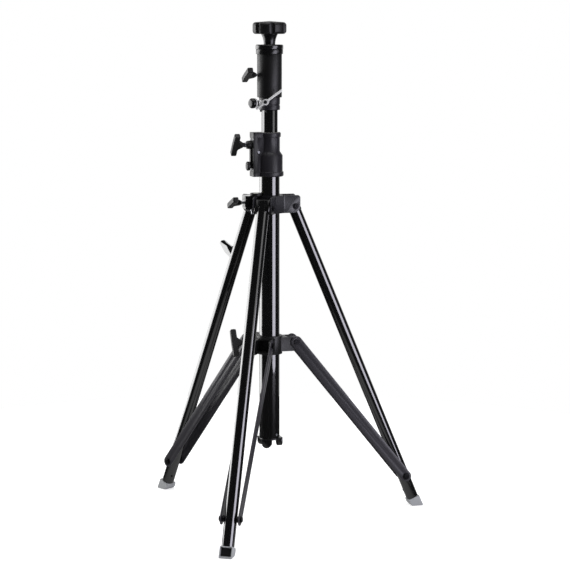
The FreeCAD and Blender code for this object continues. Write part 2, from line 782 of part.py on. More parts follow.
def clamp_block():
    """The moulded block between the left and the front leg that carries the clamp screw."""
    bottom = plates_top - s.clamp_height
    body = new_body("block")
    sketch = sketch_on(body, "XY_Plane", bottom)
    outline(sketch, (
        (s.web_reach, -s.clamp_inner_half),
        (s.clamp_step, -s.clamp_inner_half),
        (s.clamp_step, -s.clamp_half_width),
        (s.clamp_reach, -s.clamp_half_width),
        (s.clamp_reach, s.clamp_half_width),
        (s.clamp_step, s.clamp_half_width),
        (s.clamp_step, s.clamp_inner_half),
        (s.web_reach, s.clamp_inner_half),
    ))
    pad(body, sketch, s.clamp_height)
    reach = float(s.clamp_reach)
    soften(body, s.clamp_round, lambda edge: edge.BoundBox.XMin > reach - TINY
           and edge.BoundBox.ZMax < float(bottom) + TINY)
    hole = cylinder(s.stud_radius + s.running_gap, s.clamp_reach, (0, 0, spider_knob_level), "X")
    keep(cut(body, hole), "spider_clamp_block", stand_frame(GEAR_AZIMUTH))


def pivot_bolt():
    """A bolt through two ears, with a head and a nut."""
    outer = ear_outside
    bar = cylinder(s.bolt_radius, outer * 2, (0, -outer, 0), "Y")
    head = hexagon(s.bolt_head_radius, s.bolt_head_height, (0, -outer - s.bolt_head_height, 0), "Y")
    nut = hexagon(s.bolt_head_radius, s.bolt_head_height, (0, outer, 0), "Y")
    return fuse(bar, head, nut)


def build_spider():
    """The hub, the three plates, the clamp block, the pivot bolts and the spirit level."""
    spider_hub()
    clamp_block()
    spider_plate("spider_plate_right", SPIDER_AZIMUTHS["front"], False)
    spider_plate("spider_plate_rear", SPIDER_AZIMUTHS["right"], False)
    spider_plate("spider_plate_left", SPIDER_AZIMUTHS["left"], True)
    bolts = []
    for azimuth in SPIDER_AZIMUTHS.values():
        bolt = pivot_bolt()
        bolt.Placement = Placement(Vector(), Rotation(Vector(0, 0, 1), azimuth)) * Placement(
            Vector(float(s.pivot_radius), 0, float(pivot_height)), Rotation()
        )
        bolts.append(bolt)
    keep(group(*bolts), "leg_pivot_bolts", stand_frame(0))

    glass = s.level_height - s.level_chamfer * 2
    level = turned("level", (
        (0, 0),
        (s.level_radius, 0),
        (s.level_radius, s.level_height - s.level_chamfer),
        (s.level_radius - s.level_chamfer, s.level_height),
        (s.level_well, s.level_height),
        (s.level_well, glass),
        (0, glass),
    ))
    frame = stand_frame(s.level_azimuth) * Placement(
        Vector(float(level_distance), 0, float(plates_top)), Rotation()
    )
    keep(level, "spirit_level", frame)


# ---------------------------------------------------------------- legs


def leg_tube(side, azimuth):
    """A leg tube, drilled for the pivot and for the brace bolt."""
    tube = turned("leg", (
        (leg_bore, -tube_end),
        (s.leg_radius, -tube_end),
        (s.leg_radius, s.leg_rise),
        (leg_bore, s.leg_rise),
    ))
    hole = s.bolt_radius + s.running_gap
    drills = [
        cylinder(hole, s.leg_radius * 4, (0, s.leg_radius * -2, level), "Y")
        for level in (as_size(0), -brace_bolt_drop)
    ]
    keep(cut(tube, *drills), f"leg_{side}_tube", leg_frame(azimuth))


def leg_block(side, azimuth):
    """The block that fills the space between the ears and holds the tube's upper end."""
    half_depth = s.block_depth / 2
    half_width = s.ear_half_gap - s.face_gap
    top = s.leg_rise + s.block_cover
    body = new_body("block")
    sketch = sketch_on(body, "XY_Plane", -s.block_skirt)
    outline(sketch, (
        (-half_depth, -half_width),
        (half_depth, -half_width),
        (half_depth, half_width),
        (-half_depth, half_width),
    ))
    pad(body, sketch, top + s.block_skirt)
    soften(body, s.block_round, lambda edge: edge.BoundBox.ZLength > TINY)
    bore = cylinder(s.leg_radius, s.block_skirt + s.leg_rise + 1, (0, 0, -s.block_skirt - 1))
    drill = cylinder(
        s.bolt_radius + s.running_gap, half_width * 4, (0, half_width * -2, 0), "Y"
    )
    keep(cut(body, bore, drill), f"leg_{side}_top_block", leg_frame(azimuth))


def leg_shoe(side, azimuth):
    """A hollow shoe with a level sole, and its plug inside the tube."""
    lean_sine, lean_cosine = sine(s.leg_lean), cosine(s.leg_lean)
    end_x = foot_radius - s.leg_end_gap * lean_sine
    end_z = s.leg_end_gap * lean_cosine
    corners = (
        (foot_radius - s.shoe_heel + s.shoe_heel_rise, 0),
        (foot_radius + s.shoe_toe, 0),
        (foot_radius + s.shoe_toe, s.shoe_heel_rise / 2),
        (end_x + s.leg_radius * lean_cosine, end_z + s.leg_radius * lean_sine),
        (end_x - s.leg_radius * lean_cosine, end_z - s.leg_radius * lean_sine),
        (foot_radius - s.shoe_heel, s.shoe_heel_rise),
    )
    shell = flat_bar("shoe", "XZ_Plane", corners, s.shoe_width)
    ceiling = end_z - s.leg_radius * lean_sine - s.shoe_wall
    hollow = box(
        (foot_radius - s.shoe_heel + s.shoe_wall, s.shoe_wall - s.shoe_width / 2, s.shoe_wall),
        (toe_radius + 1, s.shoe_width / 2 - s.shoe_wall, ceiling),
    )
    window = box(
        (foot_radius - s.shoe_heel * 2, s.shoe_wall - s.shoe_width / 2 + 2, s.shoe_wall),
        (foot_radius, s.shoe_width / 2 - s.shoe_wall - 2, s.shoe_wall * 2.5),
    )
    plug = cylinder(leg_bore - s.running_gap, s.shoe_plug + s.shoe_wall)
    start = (end_x + s.shoe_wall * lean_sine, 0, end_z - s.shoe_wall * lean_cosine)
    place(plug, start, Rotation(Vector(0, 1, 0), -float(s.leg_lean)))
    keep(fuse(cut(shell, hollow, window), plug), f"leg_{side}_shoe", stand_frame(azimuth))


def leg_brace_bolt(side, azimuth):
    """The bolt that carries the two brace bars, and the spacers beside the tube."""
    outer = bar_outside + s.face_gap
    bar = cylinder(s.bolt_radius, outer * 2, (0, -outer, 0), "Y")
    head = hexagon(s.bolt_head_radius, s.bolt_head_height, (0, -outer - s.bolt_head_height, 0), "Y")
    nut = hexagon(s.bolt_head_radius, s.bolt_head_height, (0, outer, 0), "Y")
    spacer_end = bar_inside - s.face_gap
    sleeve = cylinder(s.spacer_radius, spacer_end * 2, (0, -spacer_end, 0), "Y")
    inside = cylinder(s.bolt_radius, outer * 2, (0, -outer, 0), "Y")
    saddle = cylinder(s.leg_radius, s.spacer_radius * 4, (0, 0, s.spacer_radius * -2))
    bolt = group(fuse(bar, head, nut), cut(sleeve, inside, saddle))
    shift = Placement(Vector(0, 0, -float(brace_bolt_drop)), Rotation())
    keep(bolt, f"leg_{side}_brace_bolt", leg_frame(azimuth) * shift)


def leg_horn(azimuth):
    """The horn-shaped handle on the outer side of the left leg."""
    skin = s.leg_radius - s.leg_wall / 2
    root_top = -s.horn_start
    root_bottom = -s.horn_start - s.horn_root
    tip_x = s.leg_radius + s.horn_reach
    tip_z = root_top - s.horn_dip
    horn = flat_bar("horn", "XZ_Plane", (
        (skin, root_bottom),
        (s.leg_radius + s.horn_belly, root_bottom, s.horn_reach * 1.3),
        (tip_x, tip_z - s.horn_tip),
        (tip_x - s.horn_tip * 0.3, tip_z),
        (tip_x - s.horn_tip * 1.5, tip_z + s.horn_edge, -s.horn_reach * 1.5),
        (s.leg_radius + s.horn_neck, root_top - s.horn_neck, -s.horn_neck),
        (s.leg_radius, root_top),
        (skin, root_top),
    ), s.horn_width)
    tube = cylinder(s.leg_radius, leg_length, (0, 0, -leg_length))
    keep(cut(horn, tube), "leg_left_horn", leg_frame(azimuth))


def build_legs():
    """Three legs, alike but for the horn on the left one."""
    for side, azimuth in SPIDER_AZIMUTHS.items():
        leg_tube(side, azimuth)
        leg_block(side, azimuth)
        leg_shoe(side, azimuth)
        leg_brace_bolt(side, azimuth)
    leg_horn(SPIDER_AZIMUTHS["left"])


# ---------------------------------------------------------------- braces


def bar_outline():
    """A flat bar with round ends, from the leg's bolt up to the collar's pivot."""
    half = s.bar_width / 2
    return (
        (-half, 0, half),
        (0, -half, half),
        (half, 0),
        (half, brace_length, half),
        (0, brace_length + half, half),
        (-half, brace_length),
    )


def build_braces():
    """Two flat bars a brace, and the short bolts at their upper ends."""
    holes = (
        (0, 0, s.bolt_radius + s.running_gap),
        (0, brace_length, s.bolt_radius),
    )
    for side, azimuth in SPIDER_AZIMUTHS.items():
        bars = []
        bolts = []
        for start, head_start in (
            (bar_inside, bar_outside),
            (-bar_outside, -bar_outside - s.bolt_head_height),
        ):
            # the plane faces -Y, so the bar that starts at y = start is lifted to its far side
            bars.append(flat_bar(
                "bar", "XZ_Plane", bar_outline(), s.bar_thickness, False,
                -start - s.bar_thickness, holes,
            ))
            shank = cylinder(s.bolt_radius, s.bar_thickness, (0, start, brace_length), "Y")
            head = hexagon(
                s.bolt_head_radius, s.bolt_head_height, (0, head_start, brace_length), "Y"
            )
            bolts.append(fuse(shank, head))
        keep(group(*bars), f"brace_{side}_bars", brace_frame(azimuth))
        keep(group(*bolts), f"brace_{side}_top_bolts", brace_frame(azimuth))


# ---------------------------------------------------------------- collar


def build_collar():
    """The ring that slides on the column, with three pairs of ears."""
    bottom = s.collar_pivot_height - s.collar_pivot_rise
    top = bottom + s.collar_height
    outer = s.column_radius + s.collar_wall
    ear_bottom = s.collar_pivot_height - s.collar_ear_drop
    ear_top = s.collar_pivot_height + s.collar_ear_end
    collar = new_body("collar")
    revolve(collar, ((0, bottom), (outer, bottom), (outer, top), (0, top)))
    ears = sketch_on(collar, "XZ_Plane")
    outline(ears, (
        (0, ear_bottom),
        (s.collar_pivot_radius + s.collar_ear_end / 2, ear_bottom),
        (s.collar_pivot_radius + s.collar_ear_end, ear_bottom + s.collar_ear_end / 2),
        (s.collar_pivot_radius + s.collar_ear_end, s.collar_pivot_height, s.collar_ear_end),
        (s.collar_pivot_radius, ear_top),
        (0, ear_top),
    ))
    arm = pad(collar, ears, collar_ear_outside * 2, True)
    channel = sketch_on(collar, "XZ_Plane")
    outline(channel, (
        (s.collar_web_reach, bottom),
        (s.collar_pivot_radius * 2, bottom),
        (s.collar_pivot_radius * 2, top),
        (s.collar_web_reach, top),
    ))
    gap = pocket(collar, channel, s.collar_ear_inside * 2)
    hollow = sketch_on(collar, "XZ_Plane")
    outline(hollow, (
        (outer, ear_bottom + s.collar_flange),
        (s.collar_web_reach + 1, ear_bottom + s.collar_flange),
        (s.collar_web_reach + 1, ear_top - s.collar_flange),
        (outer, ear_top - s.collar_flange),
    ))
    window = pocket(collar, hollow, s.collar_ear_inside * 2)
    around(collar, [arm, gap, window], LEGS)
    bore = cylinder(
        s.column_radius + s.running_gap, s.collar_height * 2, (0, 0, bottom - s.collar_wall)
    )
    # the boss for the clamp screw points out half-way between the front and the left leg
    start = (
        outer * cosine(half_turn_of_leg) * 0.9,
        outer * sine(half_turn_of_leg) * -0.9,
        s.collar_pivot_height,
    )
    towards = Rotation(Vector(0, 0, 1), -half_turn_of_leg) * TOWARDS["X"]
    boss = place(cylinder(s.collar_boss_radius, s.collar_boss_reach - outer * 0.9), start, towards)
    screw_hole = place(
        cylinder(s.stud_radius + s.running_gap, s.collar_boss_reach),
        (0, 0, s.collar_pivot_height), towards,
    )
    frame = stand_frame(SPIDER_AZIMUTHS["front"])
    keep(cut(fuse(collar, boss), bore, screw_hole), "brace_collar", frame)


# ---------------------------------------------------------------- gearbox


def build_housing():
    """The cast housing: socket on the column, neck round the riser, gear case beside them."""
    low_rim = housing_bottom + s.housing_rim
    high_rim = housing_top - s.housing_rim
    shoulder = housing_bottom + s.shoulder_start
    body_radius = s.column_radius + s.housing_wall
    barrel = turned("barrel", (
        (0, housing_bottom),
        (body_radius + s.housing_rim_proud - 2, housing_bottom),
        (body_radius + s.housing_rim_proud, housing_bottom + 2),
        (body_radius + s.housing_rim_proud, low_rim - 1),
        (body_radius, low_rim),
        (body_radius, shoulder),
        (s.neck_radius, shoulder + s.shoulder_rise),
        (s.neck_radius, high_rim),
        (s.neck_radius + s.housing_rim_proud, high_rim + 1),
        (s.neck_radius + s.housing_rim_proud, housing_top - 2),
        (s.neck_radius + s.housing_rim_proud - 2, housing_top),
        (0, housing_top),
    ))
    case_end = s.case_reach
    flange_half = s.case_half_width + s.case_flange_proud
    case = box((0, -s.case_half_width, housing_bottom), (case_end, s.case_half_width, housing_top))
    low_flange = box((0, -flange_half, housing_bottom), (case_end, flange_half, low_rim))
    high_flange = box((0, -flange_half, high_rim), (case_end, flange_half, housing_top))
    socket = cylinder(s.column_radius, s.socket_overlap + 1, (0, 0, housing_bottom - 1))
    passage = cylinder(column_bore, s.housing_height, (0, 0, column_top - 1))
    room_half = s.case_half_width - s.case_wall
    room = box(
        (0, -room_half, gear_level - gear_tip - s.face_gap),
        (case_end + 1, room_half, high_rim - s.case_wall),
    )
    store = box(
        (body_radius, -room_half, low_rim + s.case_wall),
        (case_end + 1, room_half, gear_level - gear_tip - s.face_gap - s.case_wall),
    )
    axle_hole = cylinder(
        s.axle_radius, flange_half * 4, (gear_distance, flange_half * -2, gear_level), "Y"
    )
    housing = cut(
        fuse(barrel, case, low_flange, high_flange), socket, passage, room, store, axle_hole
    )
    keep(housing, "gearbox_housing", stand_frame(GEAR_AZIMUTH))

    bush = turned("bush", (
        (s.riser_radius + s.running_gap, housing_top - s.bush_length),
        (column_bore, housing_top - s.bush_length),
        (column_bore, housing_top),
        (s.riser_radius + s.running_gap, housing_top),
    ))
    slot_half = s.rack_half_width + s.face_gap * 2
    slot = box(
        (0, -slot_half, housing_top - s.bush_length - 1), (column_bore * 2, slot_half, housing_top + 1)
    )
    keep(cut(bush, slot), "riser_guide_bush", stand_frame(GEAR_AZIMUTH))


def build_gearbox():
    """The end cover, its screws, the shaft's bush and the axle of the lift gear."""
    low_rim = housing_bottom + s.housing_rim
    high_rim = housing_top - s.housing_rim
    cover_end = s.case_reach + s.cover_thickness
    half = s.case_half_width
    flange_half = half + s.case_flange_proud
    flange_end = cover_end + s.case_flange_proud / 2
    room_half = half - s.case_wall
    start = s.case_reach
    case = box((start, -half, housing_bottom), (cover_end, half, housing_top))
    low_flange = box((start, -flange_half, housing_bottom), (flange_end, flange_half, low_rim))
    high_flange = box((start, -flange_half, high_rim), (flange_end, flange_half, housing_top))
    recess = box(
        (start - 1, -room_half, gear_level - gear_tip - s.face_gap),
        (cover_end - s.cover_wall, room_half, high_rim - s.case_wall),
    )
    bush_radius = s.crank_shaft_radius + s.case_wall
    shaft_hole = cylinder(
        bush_radius, s.cover_thickness * 2, (start, 0, crank_level), "X"
    )
    across = half - s.case_wall * 1.2
    spots = [
        (cover_end - s.case_wall / 2, side, level)
        for side in (across, -across)
        for level in (low_rim + s.case_wall * 1.5, high_rim - s.case_wall * 1.5)
    ]
    sinks = [cylinder(s.cover_screw_radius, s.case_wall, spot, "X") for spot in spots]
    cover = cut(fuse(case, low_flange, high_flange), recess, shaft_hole, *sinks)
    keep(cover, "gearbox_cover", stand_frame(GEAR_AZIMUTH))

    bush_start = gear_distance + s.worm_length / 2 + s.face_gap
    sleeve = cylinder(
        bush_radius, cover_end - bush_start, (bush_start, 0, crank_level), "X"
    )
    bore = cylinder(
        s.crank_shaft_radius + s.running_gap, s.case_reach, (bush_start - 1, 0, crank_level), "X"
    )
    keep(cut(sleeve, bore), "crank_bush", stand_frame(GEAR_AZIMUTH))

    screws = [cylinder(s.cover_screw_radius, s.case_wall / 2, spot, "X") for spot in spots]
    keep(group(*screws), "cover_screws", stand_frame(GEAR_AZIMUTH))

    axle = cylinder(s.axle_radius, half * 2, (gear_distance, -half, gear_level), "Y")
    keep(group(axle), "gear_axle", stand_frame(GEAR_AZIMUTH))


def tooth_wire(points):
    """A closed wire through points."""
    return Part.Wire(Part.makePolygon(points + points[:1]))


def build_lift_gear():
    """The gear between the worm and the rack, with straight-sided teeth."""
    teeth = round(float(s.gear_teeth))
    tip = float(gear_tip)
    foot = float(pitch_radius - s.gear_module * 1.2)
    step = 2 * math.pi / teeth
    half_foot, half_tip = step * 0.27, step * 0.12
    points = []
    for number in range(teeth):
        # a tooth points along -X, into the middle of a gap of the rack
        middle = math.pi + number * step
        for radius, shift in (
            (foot, -half_foot), (tip, -half_tip), (tip, half_tip), (foot, half_foot)
        ):
            angle = middle + shift
            points.append(Vector(radius * math.cos(angle), 0, radius * math.sin(angle)))
    half = float(s.gear_width) / 2
    blank = Part.Face(tooth_wire(points)).extrude(Vector(0, half * 2, 0))
    blank.translate(Vector(0, -half, 0))
    bore = Part.makeCylinder(
        float(s.axle_radius + s.running_gap), half * 4, Vector(0, -half * 2, 0), Vector(0, 1, 0)
    )
    gear = document.addObject("Part::Feature", "gear")
    gear.Shape = blank.cut(bore)
    shift = Placement(Vector(float(gear_distance), 0, float(gear_level)), Rotation())
    keep(gear, "lift_gear", stand_frame(GEAR_AZIMUTH) * shift)


def build_rack():
    """The toothed strip on the riser; the middle of a gap faces the gear's axis."""
    skin = float(s.riser_radius)
    foot = float(s.riser_radius + s.rack_strip)
    tip = float(s.riser_radius + s.rack_strip + s.rack_tooth)
    pitch = float(tooth_pitch)
    half = float(s.rack_half_width)
    half_foot, half_tip = pitch * 0.27, pitch * 0.13
    top = float(gear_level + s.rack_top)
    bottom = top - float(s.rack_length)
    lowest = math.ceil((bottom - float(gear_level)) / pitch + 0.5)
    highest = math.floor((top - float(gear_level)) / pitch - 0.5)
    back = skin - float(s.riser_wall) / 2
    points = [Vector(back, -half, bottom), Vector(foot, -half, bottom)]
    for number in range(lowest, highest):
        middle = float(gear_level) + (number + 0.5) * pitch
        for radius, shift in (
            (foot, -half_foot), (tip, -half_tip), (tip, half_tip), (foot, half_foot)
        ):
            points.append(Vector(radius, -half, middle + shift))
    points += [Vector(foot, -half, top), Vector(back, -half, top)]
    strip = Part.Face(tooth_wire(points)).extrude(Vector(0, half * 2, 0))
    tube = Part.makeCylinder(skin, top * 2)
    rack = document.addObject("Part::Feature", "rack")
    rack.Shape = strip.cut(tube)
    keep(rack, "riser_rack", stand_frame(GEAR_AZIMUTH))


# ---------------------------------------------------------------- crank


def build_crank():
    """Crank shaft with its worm, the cast arm, the grip, the brake spring and knob."""
    frame = screw_frame(GEAR_AZIMUTH, 0, crank_level)
    cover_end = s.case_reach + s.cover_thickness
    boss_start = cover_end + s.case_flange_proud / 2
    boss_end = boss_start + s.crank_boss_length
    worm_start = gear_distance - s.worm_length / 2
    shaft = cylinder(s.crank_shaft_radius, boss_end - worm_start, (0, 0, worm_start))
    worm = cylinder(s.worm_root, s.worm_length, (0, 0, worm_start))
    stud = cylinder(s.stud_radius, s.brake_spring_room + stud_reach, (0, 0, boss_end))
    keep(fuse(shaft, worm, stud), "crank_shaft", frame)

    # the arm hangs down: along +X of a frame whose Z points out of the gear case
    half = s.crank_arm_width / 2
    blade = flat_bar("blade", "XY_Plane", (
        (0, -half),
        (s.crank_throw, -half, half),
        (s.crank_throw + half, 0, half),
        (s.crank_throw, half),
        (0, half),
    ), s.crank_arm_thickness, False, boss_start)
    boss = cone(s.crank_boss_radius, s.crank_boss_end_radius, s.crank_boss_length,
                (0, 0, boss_start))
    bore = cylinder(s.crank_shaft_radius, s.crank_boss_length * 2, (0, 0, boss_start - 1))
    grip_pin = cylinder(s.axle_radius, s.grip_length, (s.crank_throw, 0, boss_start))
    keep(fuse(cut(fuse(boss, blade), bore), grip_pin), "crank_arm", frame)

    round_off = s.grip_round
    grip_start = boss_start + s.crank_arm_thickness + s.face_gap
    inner = s.axle_radius + s.running_gap
    grip = turned("grip", (
        (inner, 0),
        (s.grip_radius - round_off, 0, round_off),
        (s.grip_radius, round_off),
        (s.grip_radius, s.grip_length - round_off, round_off),
        (s.grip_radius - round_off, s.grip_length),
        (0, s.grip_length),
        (0, s.grip_length - 1),
        (inner, s.grip_length - 1),
    ))
    shift = Placement(Vector(float(s.crank_throw), 0, float(grip_start)), Rotation())
    keep(grip, "crank_grip", frame * shift)

    knob_start = boss_end + s.brake_spring_room + s.knob_stand
    tee_knob("brake_knob", knob_start, crank_level, s.brake_turn)


def tee_knob(name, start, level, turn, screw_end=None):
    """A T-shaped knob beside the gear case: on a stud, or with a screw of its own.

    Its small end stands at a distance from the column's axis, and the bar is turned about the
    screw. A screw of its own ends at a distance from the axis.
    """
    span = s.tee_span / 2
    low = s.tee_hub_length
    high = low + s.tee_width
    lean = s.tee_sweep / 2
    wings = new_body("wings")
    sketch = sketch_on(wings, "XZ_Plane")
    outline(sketch, (
        (-s.tee_neck_radius, s.stud_radius),
        (s.tee_neck_radius, s.stud_radius),
        (s.tee_hub_radius, low),
        (span, low - lean),
        (span, high - lean),
        (-span, high + lean),
        (-span, low + lean),
        (-s.tee_hub_radius, low),
    ))
    pad(wings, sketch, s.tee_thickness, True)
    soften(wings, s.tee_round, lambda edge: edge.BoundBox.YLength > TINY
           and abs(edge.CenterOfMass.x) > float(span) - TINY)
    hub = cylinder(s.tee_neck_radius, s.tee_hub_length)
    if screw_end is None:
        knob = cut(fuse(wings, hub), cylinder(s.stud_radius + s.running_gap, stud_reach + s.face_gap))
    else:
        reach = start - screw_end
        knob = fuse(wings, hub, cylinder(s.stud_radius, reach, (0, 0, -reach)))
    twist = Placement(Vector(), Rotation(Vector(0, 0, 1), float(turn)))
    keep(knob, name, screw_frame(GEAR_AZIMUTH, start, level) * twist)


# ---------------------------------------------------------------- riser


def build_riser():
    """The riser tube, its slider, its collar with a bush, and the lock on the collar."""
    frame = stand_frame(s.lock_azimuth)
    tube = turned("riser", (
        (riser_bore, riser_bottom),
        (s.riser_radius, riser_bottom),
        (s.riser_radius, riser_top),
        (riser_bore, riser_top),
    ))
    keyhole = cylinder(
        s.plunger_radius + s.face_gap, s.riser_collar_radius * 2,
        (0, 0, riser_collar_bottom + s.lock_height), "X",
    )
    keep(cut(tube, keyhole), "riser_tube", frame)

    slider = turned("slider", (
        (s.riser_radius, riser_bottom),
        (column_bore - s.running_gap, riser_bottom),
        (column_bore - s.running_gap, riser_bottom + s.slider_length),
        (s.riser_radius, riser_bottom + s.slider_length),
    ))
    keep(slider, "riser_slider", frame)

    flange_top = riser_collar_bottom + s.riser_collar_flange
    groove = s.riser_collar_radius - 1
    collar = turned("collar", (
        (s.riser_radius, riser_collar_bottom),
        (s.riser_collar_radius - 1, riser_collar_bottom),
        (s.riser_collar_radius, riser_collar_bottom + 1),
        (s.riser_collar_radius, flange_top - 2),
        (groove, flange_top - 1),
        (groove, flange_top + 1),
        (s.riser_collar_radius, flange_top + 2),
        (s.riser_collar_radius, riser_collar_top),
        (s.inner_radius + 1, riser_collar_top),
        (s.inner_radius + 1, riser_collar_top - s.collar_lip),
        (s.riser_radius, riser_collar_top - s.collar_lip),
    ))
    plunger_hole = cylinder(
        s.plunger_radius + s.face_gap, s.riser_collar_radius * 2,
        (0, 0, riser_collar_bottom + s.lock_height), "X",
    )
    keep(cut(collar, plunger_hole), "riser_collar", frame)

    bush = turned("bush", (
        (s.inner_radius + s.running_gap, riser_top),
        (s.riser_radius, riser_top),
        (s.riser_radius, riser_top + s.collar_bush_height),
        (s.inner_radius + s.running_gap, riser_top + s.collar_bush_height),
    ))
    keep(bush, "collar_bush", frame)


def collar_across():
    """The riser's collar as seen from a screw frame on it, where the column runs along X."""
    span = s.riser_collar_flange + s.riser_collar_body
    return cylinder(s.riser_collar_radius, span * 2, (-span, 0, 0), "X")


def build_lock():
    """Barrel, plunger with its pull knob, and the lever on a stud of the riser's collar."""
    level = riser_collar_bottom + s.lock_height
    frame = screw_frame(s.lock_azimuth, 0, level)
    bore_radius = s.plunger_radius + s.running_gap
    skin = s.riser_collar_radius - 1
    barrel = turned("barrel", (
        (bore_radius, skin - 1),
        (s.lock_barrel_radius + 1.5, skin - 1),
        (s.lock_barrel_radius + 1.5, skin + s.lock_barrel_radius),
        (s.lock_barrel_radius, skin + s.lock_barrel_radius + 2),
        (s.lock_barrel_radius - 1, s.lock_barrel_end - 3),
        (s.lock_barrel_radius + s.lock_ring_proud, s.lock_barrel_end - 3),
        (s.lock_barrel_radius + s.lock_ring_proud, s.lock_barrel_end),
        (bore_radius, s.lock_barrel_end),
    ))
    keep(cut(barrel, collar_across()), "lock_barrel", frame)

    tip = s.inner_radius + s.face_gap
    round_off = s.plunger_knob_round
    knob_end = s.plunger_knob_start + s.plunger_knob_length
    ring_start = s.lock_barrel_end + s.face_gap
    plunger = turned("plunger", (
        (0, tip),
        (s.plunger_radius, tip + 0.5),
        (s.plunger_radius, ring_start),
        (s.lock_barrel_radius, ring_start),
        (s.lock_barrel_radius + s.lock_ring_proud, s.plunger_knob_start),
        (s.plunger_knob_radius, s.plunger_knob_start + 2),
        (s.plunger_knob_radius, knob_end - round_off, round_off),
        (s.plunger_knob_radius - round_off, knob_end),
        (0, knob_end),
    ))
    keep(plunger, "lock_plunger", frame)

    stud_level = riser_collar_bottom + s.lever_height
    lever_frame = screw_frame(s.lever_azimuth, 0, stud_level)
    lever_end = s.lever_distance + s.lever_thickness
    stud = cylinder(s.axle_radius, lever_end - skin + s.face_gap, (0, 0, skin))
    stud_head = cylinder(s.axle_radius * 1.4, 1.5, (0, 0, lever_end + s.face_gap))
    keep(cut(fuse(stud, stud_head), collar_across()), "lever_stud", lever_frame)

    eye = cylinder(s.lever_eye_radius, s.lever_thickness, (0, 0, s.lever_distance))
    rod = cylinder(
        s.lever_thickness / 2, s.lever_long_arm + s.lever_short_arm,
        (-s.lever_short_arm, 0, s.lever_distance + s.lever_thickness / 2), "X",
    )
    hole = cylinder(
        s.axle_radius + s.running_gap, s.lever_thickness * 4,
        (0, 0, s.lever_distance - s.lever_thickness),
    )
    # +X of the screw's frame points down, +Y to the right of the stand seen from the front
    turn = 90.0 + float(s.lever_slope)
    keep(cut(fuse(eye, rod), hole), "release_lever",
         lever_frame * Placement(Vector(), Rotation(Vector(0, 0, 1), turn)))


# ---------------------------------------------------------------- head


def build_head():
    """Inner riser, head barrel, band, rim, clamp knob and the star knob on its plug."""
    frame = stand_frame(GEAR_AZIMUTH)
    inner_bottom = riser_bottom + s.inner_inset
    inner_top = head_bottom + s.head_seat
    inner_bore = s.inner_radius - s.inner_wall
    tube = turned("inner", (
        (inner_bore, inner_bottom),
        (s.inner_radius, inner_bottom),
        (s.inner_radius, inner_top),
        (inner_bore, inner_top),
    ))
    keep(tube, "inner_riser_tube", frame)

    slider = turned("inner_slider", (
        (s.inner_radius, inner_bottom),
        (riser_bore - s.running_gap, inner_bottom),
        (riser_bore - s.running_gap, inner_bottom + s.slider_length),
        (s.inner_radius, inner_bottom + s.slider_length),
    ))
    keep(slider, "inner_slider", frame)

    seat_radius = s.band_radius - s.case_wall
    socket_floor = rim_bottom - s.socket_depth
    barrel = turned("head", (
        (s.inner_radius, head_bottom),
        (s.head_radius - 1, head_bottom),
        (s.head_radius, head_bottom + 1),
        (s.head_radius, head_top),
        (seat_radius, head_top),
        (seat_radius, rim_bottom),
        (s.socket_radius, rim_bottom),
        (s.socket_radius, socket_floor),
        (0, socket_floor),
        (0, inner_top),
        (s.inner_radius, inner_top),
    ))
    clamp_hole = cylinder(
        s.stud_radius + s.running_gap, s.head_radius * 2, (0, 0, knob_level), "X"
    )
    keep(cut(barrel, clamp_hole), "head_barrel", frame)

    band = turned("band", (
        (seat_radius, head_top),
        (s.band_radius - 0.8, head_top),
        (s.band_radius, head_top + 0.8),
        (s.band_radius, rim_bottom - 0.8),
        (s.band_radius - 0.8, rim_bottom),
        (seat_radius, rim_bottom),
    ))
    keep(band, "head_band", frame)

    mouth = s.socket_radius + s.face_gap
    rim = turned("rim", (
        (mouth, rim_bottom),
        (s.rim_radius, rim_bottom),
        (s.rim_radius, rim_top - s.rim_round, s.rim_round),
        (s.rim_radius - s.rim_round, rim_top),
        (mouth, rim_top),
    ))
    keep(rim, "head_rim", frame)

    tee_knob(
        "head_clamp_knob", s.head_radius + s.head_knob_stand, knob_level, s.head_knob_turn,
        s.inner_radius + s.face_gap,
    )

    plug = turned("plug", (
        (0, rim_top - s.plug_insert),
        (s.plug_radius, rim_top - s.plug_insert),
        (s.plug_radius, rim_top + 2, -s.plug_neck * 2),
        (s.plug_flare, plug_top),
        (0, plug_top),
    ))
    keep(plug, "socket_plug", frame)

    star = new_body("star")
    top = plug_top + s.star_height
    revolve(star, (
        (0, plug_top),
        (s.star_radius - s.star_round, plug_top, s.star_round),
        (s.star_radius, plug_top + s.star_round),
        (s.star_radius, top - s.star_round - s.star_dome, s.star_round),
        (s.star_radius - s.star_round, top - s.star_dome),
        (0, top),
    ))
    valley = sketch_on(star, "XY_Plane", plug_top + s.star_height / 2)
    circle(valley, s.star_valley_distance, 0, s.star_valley)
    around(star, [pocket(star, valley)], s.star_lobes)
    keep(star, "star_knob", stand_frame(s.star_azimuth))


# ---------------------------------------------------------------- assembly


def build_clamp_knobs():
    """The T-shaped knobs of the spider's clamp block and of the brace collar."""
    column_skin = s.column_radius + s.face_gap
    tee_knob("spider_knob", s.clamp_knob_start, spider_knob_level, s.spider_knob_turn, column_skin)
    tee_knob(
        "collar_knob", s.collar_knob_start, s.collar_pivot_height, s.collar_knob_turn,
        column_skin + s.face_gap,
    )


def check_document():
    """Stop if a feature failed or a sub-part's shape isn't sound."""
    broken = [part.Label for part in document.Objects if set(part.State) & {"Invalid", "Error"}]
    broken += [
        part.Label for part in pieces if part.Shape.isNull() or not part.Shape.isValid()
    ]
    if broken:
        raise RuntimeError(f"not sound: {sorted(set(broken))}")


def write_parts():
    """Write each sub-part to a STEP file named after its label."""
    os.makedirs(PARTS_FOLDER, exist_ok=True)
    for part in pieces:
        part.Shape.exportStep(os.path.join(PARTS_FOLDER, f"{part.Label}.step"))


